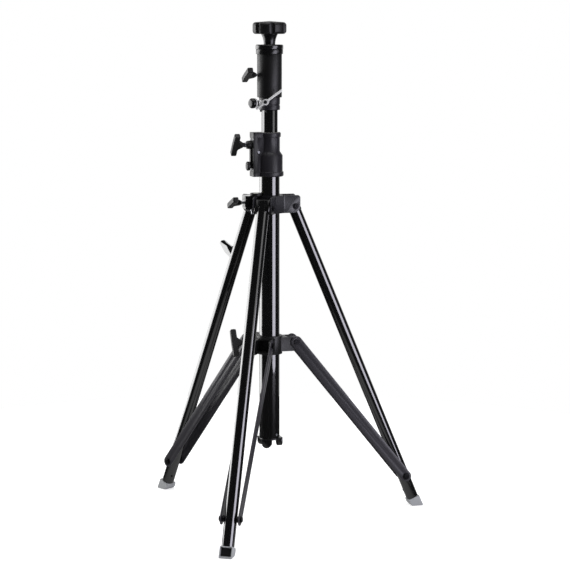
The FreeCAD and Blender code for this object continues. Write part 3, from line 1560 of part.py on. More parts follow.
def main():
    """Build every sub-assembly, check the document and write the parts."""
    build_column()
    build_spider()
    build_legs()
    build_braces()
    build_collar()
    build_housing()
    build_gearbox()
    build_lift_gear()
    build_rack()
    build_crank()
    build_riser()
    build_lock()
    build_head()
    build_clamp_knobs()
    document.recompute()
    check_document()
    write_parts()
    print(f"{len(pieces)} sub-parts, brace length {float(brace_length):.1f} mm")


main()
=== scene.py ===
"""Dresses the crank lighting stand: its finishes, turned and moulded detail, light and camera."""
import json
import logging
import math
from collections.abc import Iterable, Sequence
from dataclasses import dataclass
from enum import Enum

import bmesh
import bpy
from mathutils import Matrix, Vector


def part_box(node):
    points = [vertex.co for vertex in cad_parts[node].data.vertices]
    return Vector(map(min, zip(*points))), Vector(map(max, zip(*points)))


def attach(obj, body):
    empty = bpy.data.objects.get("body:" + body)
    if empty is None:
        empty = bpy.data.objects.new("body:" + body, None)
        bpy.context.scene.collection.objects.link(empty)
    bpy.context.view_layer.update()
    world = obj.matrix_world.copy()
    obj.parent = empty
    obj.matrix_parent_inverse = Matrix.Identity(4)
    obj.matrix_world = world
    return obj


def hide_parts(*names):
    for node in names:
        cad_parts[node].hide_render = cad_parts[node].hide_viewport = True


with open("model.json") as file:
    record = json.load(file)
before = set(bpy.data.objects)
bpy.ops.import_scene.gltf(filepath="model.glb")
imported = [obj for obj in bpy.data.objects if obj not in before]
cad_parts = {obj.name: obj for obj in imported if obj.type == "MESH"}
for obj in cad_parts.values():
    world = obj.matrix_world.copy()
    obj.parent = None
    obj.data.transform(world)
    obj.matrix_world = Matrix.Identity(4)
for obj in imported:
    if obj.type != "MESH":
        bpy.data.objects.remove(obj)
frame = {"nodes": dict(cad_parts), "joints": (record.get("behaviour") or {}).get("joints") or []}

log = logging.getLogger("crank_stand")

MM = 0.001
WELD = 1e-6
COIL_STEPS = 20
GEARBOX_AZIMUTH = 210.0
PLUNGER_AZIMUTH = 235.0
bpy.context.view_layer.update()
UP = Vector((0.0, 0.0, 1.0))

Profile = Sequence[tuple[float, ...]]
Ramp = tuple[float, float, float, float]
Socket = bpy.types.NodeSocket
Tree = bpy.types.NodeTree


class Side(Enum):
    """The three legs, each by the azimuth it points to, in degrees from +X."""

    FRONT = 270.0
    RIGHT = 30.0
    LEFT = 150.0

    @property
    def word(self) -> str:
        """The side as it stands in node names."""
        return self.name.lower()


# ---- finishes


def linear_colour(code: str) -> tuple[float, float, float, float]:
    """Turns an sRGB hex code into the linear colour that a shader takes.

    Args:
        code: Six hex digits after a hash sign.

    Returns:
        Red, green, blue and an alpha of one.
    """
    channels = [int(code[start:start + 2], 16) / 255.0 for start in (1, 3, 5)]
    linear = [
        value / 12.92 if value <= 0.04045 else ((value + 0.055) / 1.055) ** 2.4
        for value in channels
    ]
    return (linear[0], linear[1], linear[2], 1.0)


def add_node(
    tree: Tree, kind: str, inputs: dict[str | int, object] | None = None, **settings: object
) -> bpy.types.Node:
    """Adds one node to a tree, with its settings and its inputs.

    Args:
        tree: The node tree that gets the node.
        kind: The node's type name.
        inputs: Values or source sockets by input name or number.
        settings: Properties of the node itself.

    Returns:
        The new node.
    """
    node = tree.nodes.new(kind)
    for name, value in settings.items():
        setattr(node, name, value)
    for name, value in (inputs or {}).items():
        if isinstance(value, Socket):
            tree.links.new(value, node.inputs[name])
        else:
            node.inputs[name].default_value = value
    return node


def fresh_tree(owner: bpy.types.Material | bpy.types.World) -> Tree:
    """The emptied node tree of a material or a world."""
    owner.use_nodes = True
    owner.node_tree.nodes.clear()
    return owner.node_tree


def eased(tree: Tree, value: Socket, ramp: Ramp) -> Socket:
    """A value carried over along a soft S, from the ramp's first pair to its second."""
    start, end, low, high = ramp
    return add_node(tree, "ShaderNodeMapRange", {
        "Value": value, "From Min": start, "From Max": end, "To Min": low, "To Max": high,
    }, interpolation_type="SMOOTHSTEP").outputs["Result"]


def add_object(name: str, data: bpy.types.ID) -> bpy.types.Object:
    """Makes an object of its data and puts it in the scene."""
    made = bpy.data.objects.new(name, data)
    bpy.context.scene.collection.objects.link(made)
    return made


@dataclass(frozen=True)
class Finish:
    """A surface as it is made: its colour, its gloss and the grain that making leaves.

    Sizes are millimetres on the real surface.
    """

    name: str
    colour: str
    shade: str
    roughness: float
    roughness_spread: float = 0.06
    metallic: float = 0.0
    ior: float = 1.5
    coat: float = 0.0
    coat_roughness: float = 0.03
    coat_ior: float = 1.5
    grain: float = 1.0
    grain_height: float = 0.0
    patch: float = 45.0
    stretch: tuple[float, float, float] = (1.0, 1.0, 1.0)

    def material(self) -> bpy.types.Material:
        """The finish as a material, built once and then shared."""
        known = bpy.data.materials.get(self.name)
        if known is not None:
            return known
        material = bpy.data.materials.new(self.name)
        tree = fresh_tree(material)
        place = add_node(tree, "ShaderNodeTexCoord").outputs["Object"]
        mapping = add_node(
            tree, "ShaderNodeMapping", {"Vector": place, "Scale": self.stretch}
        ).outputs["Vector"]
        shader = add_node(tree, "ShaderNodeBsdfPrincipled", {
            "Base Color": self.tint(tree, mapping),
            "Metallic": self.metallic,
            "Roughness": self.gloss(tree, mapping),
            "IOR": self.ior,
            "Coat Weight": self.coat,
            "Coat Roughness": self.coat_roughness,
            "Coat IOR": self.coat_ior,
        })
        if self.grain_height > 0.0:
            tree.links.new(self.relief(tree, mapping), shader.inputs["Normal"])
        add_node(tree, "ShaderNodeOutputMaterial", {"Surface": shader.outputs["BSDF"]})
        return material

    def noise(self, tree: Tree, mapping: Socket, size: float, detail: float = 3.0) -> Socket:
        """Soft noise whose features are about the given millimetres across."""
        return add_node(tree, "ShaderNodeTexNoise", {
            "Vector": mapping, "Scale": 1.0 / (size * MM), "Detail": detail, "Roughness": 0.55,
        }).outputs["Fac"]

    def tint(self, tree: Tree, mapping: Socket) -> Socket:
        """Two near colours in soft patches, as coating and moulding never come out even."""
        return add_node(tree, "ShaderNodeMix", {
            "Factor": self.noise(tree, mapping, self.patch),
            "A": linear_colour(self.colour), "B": linear_colour(self.shade),
        }, data_type="RGBA").outputs["Result"]

    def gloss(self, tree: Tree, mapping: Socket) -> Socket:
        """Roughness that wanders a little, as handling and dust leave it."""
        return add_node(tree, "ShaderNodeMapRange", {
            "Value": self.noise(tree, mapping, self.patch * 0.6),
            "To Min": max(self.roughness - self.roughness_spread, 0.01),
            "To Max": self.roughness + self.roughness_spread,
        }).outputs["Result"]

    def relief(self, tree: Tree, mapping: Socket) -> Socket:
        """The fine grain of the surface as a bump of real height."""
        return add_node(tree, "ShaderNodeBump", {
            "Height": self.noise(tree, mapping, self.grain, 2.0),
            "Strength": 1.0, "Distance": self.grain_height * MM,
        }).outputs["Normal"]


# Powder coat on drawn tube: black under a hard skin with a faint orange peel, in which the
# lamps stand as bright, clean-edged stripes.
GLOSS_POWDER = Finish(
    "gloss_black_powder_coat", "#060607", "#0a0a0b", 0.16, 0.03, coat=1.0, coat_roughness=0.02,
    coat_ior=1.9, grain=2.2, grain_height=0.0012, patch=60.0,
)
# The same, baked satin on the head's barrel and the star knob: broad soft lights.
SATIN_POWDER = Finish(
    "satin_black_powder_coat", "#08080a", "#0e0e10", 0.47, 0.03, ior=1.55, grain=0.9,
    grain_height=0.003, patch=50.0,
)
# Between the two, on the head's band and the plug's neck: narrow lights, soft-edged.
SEMI_GLOSS_POWDER = Finish(
    "semi_gloss_black_powder_coat", "#060608", "#0c0c0e", 0.28, 0.03, ior=1.6, grain=0.9,
    grain_height=0.002, patch=40.0,
)
# Satin coat on the flat brace bars.
SATIN_BAR = Finish(
    "satin_coat_on_flat_bar", "#29282d", "#302e35", 0.38, 0.02, ior=1.65, grain=1.1,
    grain_height=0.001, patch=40.0,
)
# Paint on shot-blasted die castings: a violet-tinged black with a fine tooth.
CAST_PAINT = Finish(
    "painted_die_cast_aluminium", "#16141b", "#1d1b23", 0.44, 0.03, ior=1.6, grain=0.6,
    grain_height=0.006, patch=35.0,
)
# Thin satin stove enamel on the pressed plates, slightly uneven.
STOVE_ENAMEL = Finish(
    "satin_stove_enamel_on_sheet", "#1c1c20", "#222228", 0.40, 0.03, ior=1.7, grain=0.8,
    grain_height=0.003, patch=26.0,
)
# Glass-filled nylon, moulded with a fine spark-eroded grain: near black, dull sheen.
NYLON = Finish(
    "glass_filled_nylon", "#0e0e0f", "#161617", 0.44, ior=1.53, grain=0.45,
    grain_height=0.010, patch=18.0,
)
# Gloss black moulding of the clamp block.
GLOSS_MOULDING = Finish(
    "gloss_black_moulding", "#050506", "#08080a", 0.14, 0.03, coat=0.8, coat_roughness=0.05,
    coat_ior=1.7, grain=1.8, grain_height=0.002, patch=20.0,
)
# The same nylon from a polished mould: leg blocks, cap, head rim and pull knob.
POLISHED_NYLON = Finish(
    "polished_mould_nylon", "#09090a", "#101011", 0.24, 0.05, ior=1.53, coat=0.4,
    coat_roughness=0.12, coat_ior=1.6, grain=1.4, grain_height=0.004, patch=22.0,
)
# Light grey polypropylene of the shoes: waxy, a little scuffed.
POLYPROPYLENE = Finish(
    "light_grey_polypropylene", "#999b9e", "#a8aaac", 0.50, 0.08, ior=1.49, grain=0.7,
    grain_height=0.015, patch=9.0,
)
# Chrome plate with its reflection painted in: a near-white, mostly diffuse base stands for the
# burnt-out white of the bright surroundings that it mirrors, under a soft gloss.
CHROME = Finish(
    "bright_chrome_plate", "#fbfbfc", "#ffffff", 0.24, 0.03, metallic=0.25, ior=2.4, grain=1.6,
    grain_height=0.001, patch=7.0,
)
# Zinc-plated steel of screws and axles: a soft blue-grey shine.
ZINC = Finish(
    "zinc_plated_steel", "#a3a5aa", "#b8babd", 0.27, 0.07, metallic=1.0, grain=0.5,
    grain_height=0.004, patch=4.0,
)
# Black-oxide steel of the bolts: dark, with a thin metallic glint on its edges.
BLACK_OXIDE = Finish(
    "black_oxide_steel", "#1d1d1f", "#2a2a2c", 0.33, 0.07, metallic=0.85, grain=0.4,
    grain_height=0.004, patch=3.0,
)
# Natural acetal of the slide bushes: creamy white and slightly waxy.
ACETAL = Finish(
    "natural_acetal", "#dcd9cc", "#e6e3d8", 0.38, 0.04, ior=1.48, grain=0.9,
    grain_height=0.004, patch=12.0,
)
# Sintered bronze of the lift gear and the crank's bush: warm and matt.
BRONZE = Finish(
    "sintered_bronze", "#8a6234", "#a67a45", 0.42, 0.10, metallic=1.0, grain=0.35,
    grain_height=0.010, patch=5.0,
)
# Drawn steel of the rack, milled across: bright teeth with a directional sheen.
MILLED_STEEL = Finish(
    "milled_steel", "#8d8f93", "#a2a4a8", 0.33, 0.08, metallic=1.0, grain=0.4,
    grain_height=0.006, patch=6.0, stretch=(1.0, 1.0, 0.15),
)
# The level's yellow-green liquid under its acrylic dome.
LEVEL_LIQUID = Finish(
    "level_liquid_in_acrylic", "#b8c62a", "#c9d548", 0.08, 0.01, ior=1.49, coat=1.0,
    coat_roughness=0.01, patch=8.0,
)


# ---- the bench


def rounded(corners: Profile, segments: int = 5) -> list[tuple[float, float]]:
    """Turns corners into a polyline, with an arc at each corner that states a radius.

    Args:
        corners: Points as x, y or as x, y, radius. The first and the last stay sharp.
        segments: Straight pieces in each arc.

    Returns:
        The points of the polyline.
    """
    points: list[tuple[float, float]] = []
    last = len(corners) - 1
    for index, corner in enumerate(corners):
        here = Vector(corner[:2])
        if len(corner) < 3 or index in (0, last):
            points.append((here.x, here.y))
            continue
        before = Vector(corners[index - 1][:2]) - here
        after = Vector(corners[index + 1][:2]) - here
        half = before.angle(after) / 2.0
        reach = min(corner[2] / math.tan(half), before.length * 0.49, after.length * 0.49)
        start = here + before.normalized() * reach
        end = here + after.normalized() * reach
        for step in range(segments + 1):
            share = step / segments
            one = start.lerp(here, share)
            two = here.lerp(end, share)
            point = one.lerp(two, share)
            points.append((point.x, point.y))
    return points


def frame_of(origin: Vector, x_axis: Vector, y_axis: Vector, z_axis: Vector) -> Matrix:
    """The frame that has these axes at that origin, in metres."""
    matrix = Matrix((x_axis, y_axis, z_axis)).transposed().to_4x4()
    matrix.translation = origin
    return matrix


def axis_frame(origin: Vector, forward: Vector) -> Matrix:
    """A frame whose Z runs forward and whose X leans upwards."""
    z_axis = forward.normalized()
    x_axis = (UP - z_axis * UP.dot(z_axis)).normalized()
    return frame_of(origin, x_axis, z_axis.cross(x_axis), z_axis)


class Workpiece:
    """A mesh on the bench, in millimetres of a local frame until it is placed."""

    def __init__(self, name: str) -> None:
        """Starts an empty piece.

        Args:
            name: The name that the finished object gets.
        """
        self.name = name
        self.mesh = bmesh.new()
        self._done: set[bmesh.types.BMVert] = set()

    def _new_verts(self) -> list[bmesh.types.BMVert]:
        """The vertices added since the last placing."""
        return [vert for vert in self.mesh.verts if vert not in self._done]

    def copy_node(self, node: str) -> "Workpiece":
        """Takes a carried-over part's own shape, welded and cleaned of its triangles."""
        self.mesh.from_mesh(frame["nodes"][node].data)
        bmesh.ops.remove_doubles(self.mesh, verts=self.mesh.verts[:], dist=WELD)
        bmesh.ops.dissolve_limit(
            self.mesh, angle_limit=math.radians(0.6), verts=self.mesh.verts[:],
            edges=self.mesh.edges[:],
        )
        self._done = set(self.mesh.verts)
        return self

    def lathe(self, profile: Profile, steps: int = 64, closed: bool = True) -> "Workpiece":
        """Turns a profile of radius and height about the local Z axis.

        Args:
            profile: Points of radius and height. Those on the axis become poles.
            steps: Divisions of the full turn.
            closed: Whether the last point joins the first.
        """
        verts = [self.mesh.verts.new((radius, 0.0, height)) for radius, height in profile]
        pairs = list(zip(verts, verts[1:]))
        if closed:
            pairs.append((verts[-1], verts[0]))
        edges = [self.mesh.edges.new(pair) for pair in pairs]
        bmesh.ops.spin(
            self.mesh, geom=verts + edges, cent=(0.0, 0.0, 0.0), axis=(0.0, 0.0, 1.0),
            dvec=(0.0, 0.0, 0.0), angle=math.tau, steps=steps, use_merge=True,
            use_normal_flip=False, use_duplicate=False,
        )
        new = self._new_verts()
        bmesh.ops.remove_doubles(self.mesh, verts=new, dist=1e-4)
        return self

    def slab(self, outline: Profile, low: float, high: float) -> "Workpiece":
        """Thickens a closed outline of X and Y between two heights."""
        base = [self.mesh.verts.new((x, y, low)) for x, y in outline]
        face = self.mesh.faces.new(base)
        made = bmesh.ops.extrude_face_region(self.mesh, geom=[face])
        raised = [item for item in made["geom"] if isinstance(item, bmesh.types.BMVert)]
        bmesh.ops.translate(self.mesh, verts=raised, vec=(0.0, 0.0, high - low))
        return self

    def loft(self, rings: Sequence[Sequence[Sequence[float]]]) -> "Workpiece":
        """Skins closed rings that have as many points each, and caps both ends."""
        loops = [[self.mesh.verts.new(point) for point in ring] for ring in rings]
        for one, two in zip(loops, loops[1:]):
            for index in range(len(one)):
                after = (index + 1) % len(one)
                self.mesh.faces.new((one[index], one[after], two[after], two[index]))
        self.mesh.faces.new(loops[0])
        self.mesh.faces.new(loops[-1])
        return self

    def rod(self, radius: float, length: float, sides: int = 32) -> "Workpiece":
        """A round or many-sided bar from the local origin up the Z axis."""
        made = bmesh.ops.create_cone(
            self.mesh, cap_ends=True, cap_tris=False, segments=sides, radius1=radius,
            radius2=radius, depth=length,
        )
        bmesh.ops.translate(self.mesh, verts=made["verts"], vec=(0.0, 0.0, length / 2.0))
        return self

    def tube(
        self, radius: float, wall: float, lip: float, low: float, high: float, steps: int
    ) -> "Workpiece":
        """A tube about the Z axis between two heights, with lightly rounded mouths."""
        inner, mouth = radius - wall, radius - lip
        return self.lathe((
            (inner, low), (mouth, low), (radius, low + lip), (radius, high - lip),
            (mouth, high), (inner, high),
        ), steps)

    def coil(self, radius: float, wire: float, turns: float, length: float) -> "Workpiece":
        """A round wire wound about the Z axis from the local origin upwards."""
        made = bmesh.ops.create_circle(self.mesh, cap_ends=True, segments=8, radius=wire)
        bmesh.ops.rotate(
            self.mesh, verts=made["verts"], cent=(0.0, 0.0, 0.0),
            matrix=Matrix.Rotation(math.pi / 2.0, 3, "X"),
        )
        bmesh.ops.translate(self.mesh, verts=made["verts"], vec=(radius, 0.0, 0.0))
        faces = list({face for vert in made["verts"] for face in vert.link_faces})
        count = round(turns * COIL_STEPS)
        bmesh.ops.spin(
            self.mesh, geom=faces, cent=(0.0, 0.0, 0.0), axis=(0.0, 0.0, 1.0),
            dvec=(0.0, 0.0, length / count), angle=turns * math.tau, steps=count,
            use_merge=False, use_normal_flip=False, use_duplicate=False,
        )
        return self

    def place(self, matrix: Matrix) -> "Workpiece":
        """Moves what was added since the last placing from its local millimetres."""
        new = self._new_verts()
        bmesh.ops.transform(self.mesh, matrix=matrix @ Matrix.Scale(MM, 4), verts=new)
        self._done = set(self.mesh.verts)
        return self

    def soften(self, width: float, angle: float, segments: int) -> "Workpiece":
        """Rounds the sharp edges of what was added since the last placing."""
        new = set(self._new_verts())
        bmesh.ops.recalc_face_normals(
            self.mesh, faces=[face for face in self.mesh.faces if face.verts[0] in new]
        )
        limit = math.radians(angle)
        edges = [
            edge for edge in self.mesh.edges
            if edge.verts[0] in new and len(edge.link_faces) == 2
            and edge.calc_face_angle() > limit
        ]
        bmesh.ops.bevel(
            self.mesh, geom=edges, offset=width, offset_type="OFFSET", affect="EDGES",
            segments=segments, profile=0.5, material=-1, clamp_overlap=True,
        )
        return self

    def hand_over(
        self, finish: Finish, body: str, nodes: Sequence[str] = (), crease: float = 35.0,
        edge: float = 0.0,
    ) -> None:
        """Makes the object, dresses it and ties it to the body that carries it.

        Args:
            finish: The finish of the whole piece.
            body: The body that it rides on.
            nodes: The carried-over nodes that it stands for.
            crease: The angle in degrees above which an edge stays sharp to the eye.
            edge: The width in millimetres of the rounding on its sharp edges.
        """
        bmesh.ops.recalc_face_normals(self.mesh, faces=self.mesh.faces[:])
        limit = math.radians(crease)
        for face in self.mesh.faces:
            face.smooth = True
        for line in self.mesh.edges:
            sharp = len(line.link_faces) == 2 and line.calc_face_angle() > limit
            line.smooth = edge > 0.0 or not sharp
        data = bpy.data.meshes.new(self.name)
        self.mesh.to_mesh(data)
        self.mesh.free()
        data.materials.append(finish.material())
        piece = add_object(self.name, data)
        if edge > 0.0:
            rounding = piece.modifiers.new("rounded_edges", "BEVEL")
            rounding.width = edge * MM
            rounding.segments = 2
            rounding.limit_method = "ANGLE"
            rounding.angle_limit = limit
            rounding.harden_normals = True
        else:
            shading = piece.modifiers.new("faces_lead_the_shading", "WEIGHTED_NORMAL")
            shading.keep_sharp = True
        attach(piece, body)
        if nodes:
            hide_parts(*nodes)
        log.info("%s rides on %s", self.name, body)


def joint(name: str) -> dict:
    """The joint of that name, as the frame gives it."""
    return next(entry for entry in frame["joints"] if entry["name"] == name)


def joint_frame(name: str) -> Matrix:
    """The frame of a joint: its Z is the joint's axis and its X leans upwards."""
    entry = joint(name)
    return axis_frame(Vector(entry["pos_m"]), Vector(entry["axis"]))


def both_ends(name: str, reach: float) -> Iterable[tuple[Matrix, Matrix]]:
    """For each way along a joint's axis, a frame at its middle and one at a reach from it.

    Args:
        name: The joint's name.
        reach: How far out the second frame lies, in millimetres.

    Yields:
        The two frames, with Z pointing out.
    """
    entry = joint(name)
    centre = Vector(entry["pos_m"])
    for sign in (1.0, -1.0):
        direction = Vector(entry["axis"]) * sign
        seat = centre + direction * reach * MM
        yield axis_frame(centre, direction), axis_frame(seat, direction)


def column_axis() -> Vector:
    """The foot of the column's axis on the floor."""
    low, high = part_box("column_tube")
    middle = (low + high) / 2.0
    return Vector((middle.x, middle.y, 0.0))


def outward(azimuth: float) -> Vector:
    """The level direction of an azimuth in degrees."""
    turn = math.radians(azimuth)
    return Vector((math.cos(turn), math.sin(turn), 0.0))


def column_point(azimuth: float, radius: float, height: float) -> Vector:
    """The point at an azimuth, at a radius and a height in millimetres."""
    return column_axis() + outward(azimuth) * radius * MM + UP * height * MM


def spigot_frame(azimuth: float, radius: float, height: float) -> Matrix:
    """A frame whose Z points out at an azimuth, at a radius and a height in millimetres."""
    return axis_frame(column_point(azimuth, radius, height), outward(azimuth))


def reach_of(point: Vector) -> float:
    """How far a point stands off the column's axis, in millimetres."""
    return (point - column_axis()).to_2d().length / MM


def span_of(node: str) -> tuple[float, float]:
    """The lowest and the highest level of a node, in millimetres."""
    low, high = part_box(node)
    return low.z / MM, high.z / MM


def radius_of(node: str) -> float:
    """The radius of a round upright node, in millimetres."""
    low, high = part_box(node)
    return (high.x - low.x) / 2.0 / MM


# ---- small hardware


@dataclass(frozen=True)
class Fastener:
    """A screw or bolt head seen from outside, in millimetres."""

    radius: float
    height: float
    socket: float = 0.0
    washer: float = 0.0
    washer_height: float = 1.0

    def head(self, piece: Workpiece, place: Matrix) -> None:
        """Adds a round head with its socket, and its washer if it has one.

        Args:
            piece: The piece that gets the head.
            place: The frame on the seat, with Z pointing out.
        """
        lift = 0.0
        if self.washer > 0.0:
            lift = self.washer_height
            piece.lathe(rounded((
                (0.0, 0.0), (self.washer, 0.0, 0.2), (self.washer, lift, 0.3), (0.0, lift),
            ), 2), 40, closed=False).place(place)
        depth = self.height * 0.55
        top = lift + self.height
        piece.lathe(rounded((
            (0.0, lift), (self.radius, lift, 0.2), (self.radius, top, self.height * 0.4),
            (self.socket, top), (self.socket * 0.94, top - depth), (0.0, top - depth),
        ), 4), 36, closed=False).place(place)

    def dome(self, piece: Workpiece, place: Matrix) -> None:
        """Adds a domed head with a small recess, as on a pan-head screw."""
        piece.lathe(rounded((
            (0.0, 0.0), (self.radius, 0.0, 0.1), (self.radius, self.height, self.height * 0.9),
            (self.radius * 0.25, self.height), (0.0, self.height * 0.45),
        ), 4), 28, closed=False).place(place)


@dataclass
class TeeKnob:
    """A moulded T-shaped knob: hub, two swept wings and the end of its zinc-plated screw.

    The turn is degrees about the screw from upright. Where the screw shows, screw_end is
    how far from the column's axis it stops. Sizes are millimetres.
    """

    node: str
    body: str
    joint_name: str
    turn: float
    screw_end: float | None = None
    span: float = 34.5
    bar: float = 14.0
    thickness: float = 13.0
    sweep: float = 0.5
    hub_length: float = 14.0
    neck: float = 5.4
    hub: float = 12.5
    screw: float = 3.5
    pitch: float = 1.25
    crest: float = 0.34
    threads: float = 7.0
    rounding: float = 2.4

    def outline(self) -> list[tuple[float, float]]:
        """The bar and the hub's wedge in the plane of the screw: X across, Y along it."""
        low = self.hub_length
        high = low + self.bar
        return rounded((
            (self.neck * 0.7, 2.0), (self.hub, low, 5.0),
            (self.span, low - self.sweep, 4.0), (self.span, high - self.sweep, 4.0),
            (0.0, high + 0.6, 40.0),
            (-self.span, high + self.sweep, 4.0), (-self.span, low + self.sweep, 4.0),
            (-self.hub, low, 5.0), (-self.neck * 0.7, 2.0),
        ), 6)

    def build(self) -> None:
        """Moulds the knob in one piece and puts it on its screw."""
        seat = joint_frame(self.joint_name)
        place = seat @ Matrix.Rotation(math.radians(self.turn), 4, "Z")
        knob = Workpiece(f"{self.node}_moulded")
        half = self.thickness / 2.0
        lay_down = Matrix.Rotation(math.pi / 2.0, 4, "X")
        knob.slab(self.outline(), -half, half).soften(self.rounding, 40.0, 4)
        knob.place(place @ lay_down)
        knob.lathe(rounded((
            (0.0, 0.0), (self.neck, 0.0, 0.6), (self.neck, self.hub_length * 0.4, 2.0),
            (half - 0.2, self.hub_length - 1.0, 2.0), (0.0, self.hub_length + 3.0),
        )), 40, closed=False).place(place)
        knob.hand_over(NYLON, self.body, (self.node,), crease=50.0)
        if self.screw_end is not None:
            self.thread(seat)

    def thread(self, seat: Matrix) -> None:
        """The knob's own screw: a shank with the crests of its thread wound on it."""
        length = reach_of(seat.translation) - self.screw_end
        inward = seat @ Matrix.Rotation(math.pi, 4, "X")
        screw = Workpiece(f"{self.node}_screw")
        screw.rod(self.screw - 0.3, length, 24).place(inward)
        thread = self.threads * self.pitch
        screw.coil(self.screw - 0.35, self.crest, self.threads, thread).place(inward)
        screw.hand_over(ZINC, self.body)


# ---- sub-assemblies


# Carried-over parts whose shape is left alone, by the finish that they get.
KEPT_SHAPES = {
    CAST_PAINT: ("spider_hub",),
    ZINC: ("cover_screws", "gear_axle", "crank_shaft", "lever_stud"),
    BRONZE: ("crank_bush", "lift_gear"),
    ACETAL: ("riser_guide_bush", "riser_slider", "collar_bush", "inner_slider"),
    MILLED_STEEL: ("riser_rack",),
    BLACK_OXIDE: tuple(f"brace_{side.word}_top_bolts" for side in Side),
}


def dress_kept() -> None:
    """Gives those parts their finish."""
    for finish, nodes in KEPT_SHAPES.items():
        for node in nodes:
            part = frame["nodes"][node]
            part.data.materials.clear()
            part.data.materials.append(finish.material())
            log.info("%s keeps its shape", node)


@dataclass
class Copy:
    """A welded copy with rounded edges that stands in for a carried-over part."""

    node: str
    finish: Finish
    body: str
    edge: float

    def build(self) -> None:
        """Makes the copy."""
        piece = Workpiece(f"{self.node}_dressed").copy_node(self.node)
        piece.hand_over(self.finish, self.body, (self.node,), edge=self.edge)


@dataclass
class Column:
    """The column tube, its cap and the cap's three screws."""

    wall: float = 2.0
    lip: float = 0.6
    screw: Fastener = Fastener(3.2, 1.6)
    screw_turn: float = 60.0
    screw_rise: float = 9.0
    screw_sink: float = 0.3

    def build(self) -> None:
        """Turns the tube and sets the screws half-way between the legs."""
        low, high = span_of("column_tube")
        radius = radius_of("column_tube")
        tube = Workpiece("column_tube_coated")
        tube.tube(radius, self.wall, self.lip, low, high, 160)
        tube.place(Matrix.Translation(column_axis()))
        tube.hand_over(GLOSS_POWDER, "column", ("column_tube",), crease=30.0)
        Copy("column_cap", POLISHED_NYLON, "column", 1.2).build()
        reach, level = radius - self.screw_sink, low + self.screw_rise
        screws = Workpiece("column_cap_screws")
        for side in Side:
            self.screw.dome(screws, spigot_frame(side.value + self.screw_turn, reach, level))
        screws.hand_over(ZINC, "column")


@dataclass
class Spider:
    """The leg pivots, the spirit level and the nut of the clamp block."""

    bolt: Fastener = Fastener(5.2, 2.6, 2.4, 7.4)
    shank: float = 4.0
    ear_wall: float = 3.0
    ear_gap: float = 0.3
    nut_reach: float = 42.0
    nut_radius: float = 3.9
    nut_drop: float = 13.0
    vial: float = 9.6
    vial_depth: float = 2.0

    def build(self) -> None:
        """Makes bolts, level and nut."""
        self.bolts()
        self.level()
        self.clamp_nut()

    def clamp_nut(self) -> None:
        """The domed nut under the clamp block, on the bolt that holds it to the plate."""
        low, _ = span_of("spider_clamp_block")
        radius, drop = self.nut_radius, self.nut_drop
        point = column_point(GEARBOX_AZIMUTH, self.nut_reach, low)
        nut = Workpiece("clamp_block_nut")
        nut.lathe(rounded((
            (0.0, -drop), (radius, -drop, 2.6), (radius, -drop * 0.35, 0.3),
            (radius * 1.5, -drop * 0.35, 0.3), (radius * 1.5, 0.4), (0.0, 0.4),
        )), 32, closed=False).place(Matrix.Translation(point))
        nut.hand_over(ZINC, "column")

    def bolts(self) -> None:
        """Socket-head bolts through the ears, with a washer under each end."""
        bolts = Workpiece("leg_pivot_bolts_turned")
        low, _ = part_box("leg_front_top_block")
        reach = -low.x / MM + self.ear_gap + self.ear_wall
        for side in Side:
            for middle, seat in both_ends(f"leg_{side.word}_fold", reach):
                bolts.rod(self.shank, reach, 24).place(middle)
                self.bolt.head(bolts, seat)
        bolts.hand_over(BLACK_OXIDE, "column", ("leg_pivot_bolts",))

    def level(self) -> None:
        """The level's black cup and the liquid under its domed glass."""
        low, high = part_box("spirit_level")
        middle = (low + high) / 2.0
        radius = radius_of("spirit_level")
        height = (high.z - low.z) / MM
        seat = Matrix.Translation(Vector((middle.x, middle.y, low.z)))
        bottom = height - self.vial_depth
        cup = Workpiece("spirit_level_cup")
        cup.lathe(rounded((
            (0.0, 0.0), (radius, 0.0, 0.6), (radius, height, 1.2), (self.vial, height, 0.5),
            (self.vial, bottom), (0.0, bottom),
        )), 56, closed=False).place(seat)
        cup.hand_over(NYLON, "column", ("spirit_level",))
        liquid = Workpiece("spirit_level_vial")
        edge = self.vial - 0.2
        liquid.lathe(rounded((
            (0.0, bottom - 0.2), (edge, bottom - 0.2), (edge, height - 0.6, 0.8),
            (0.0, height + 0.3),
        )), 40, closed=False).place(seat)
        liquid.hand_over(LEVEL_LIQUID, "column")


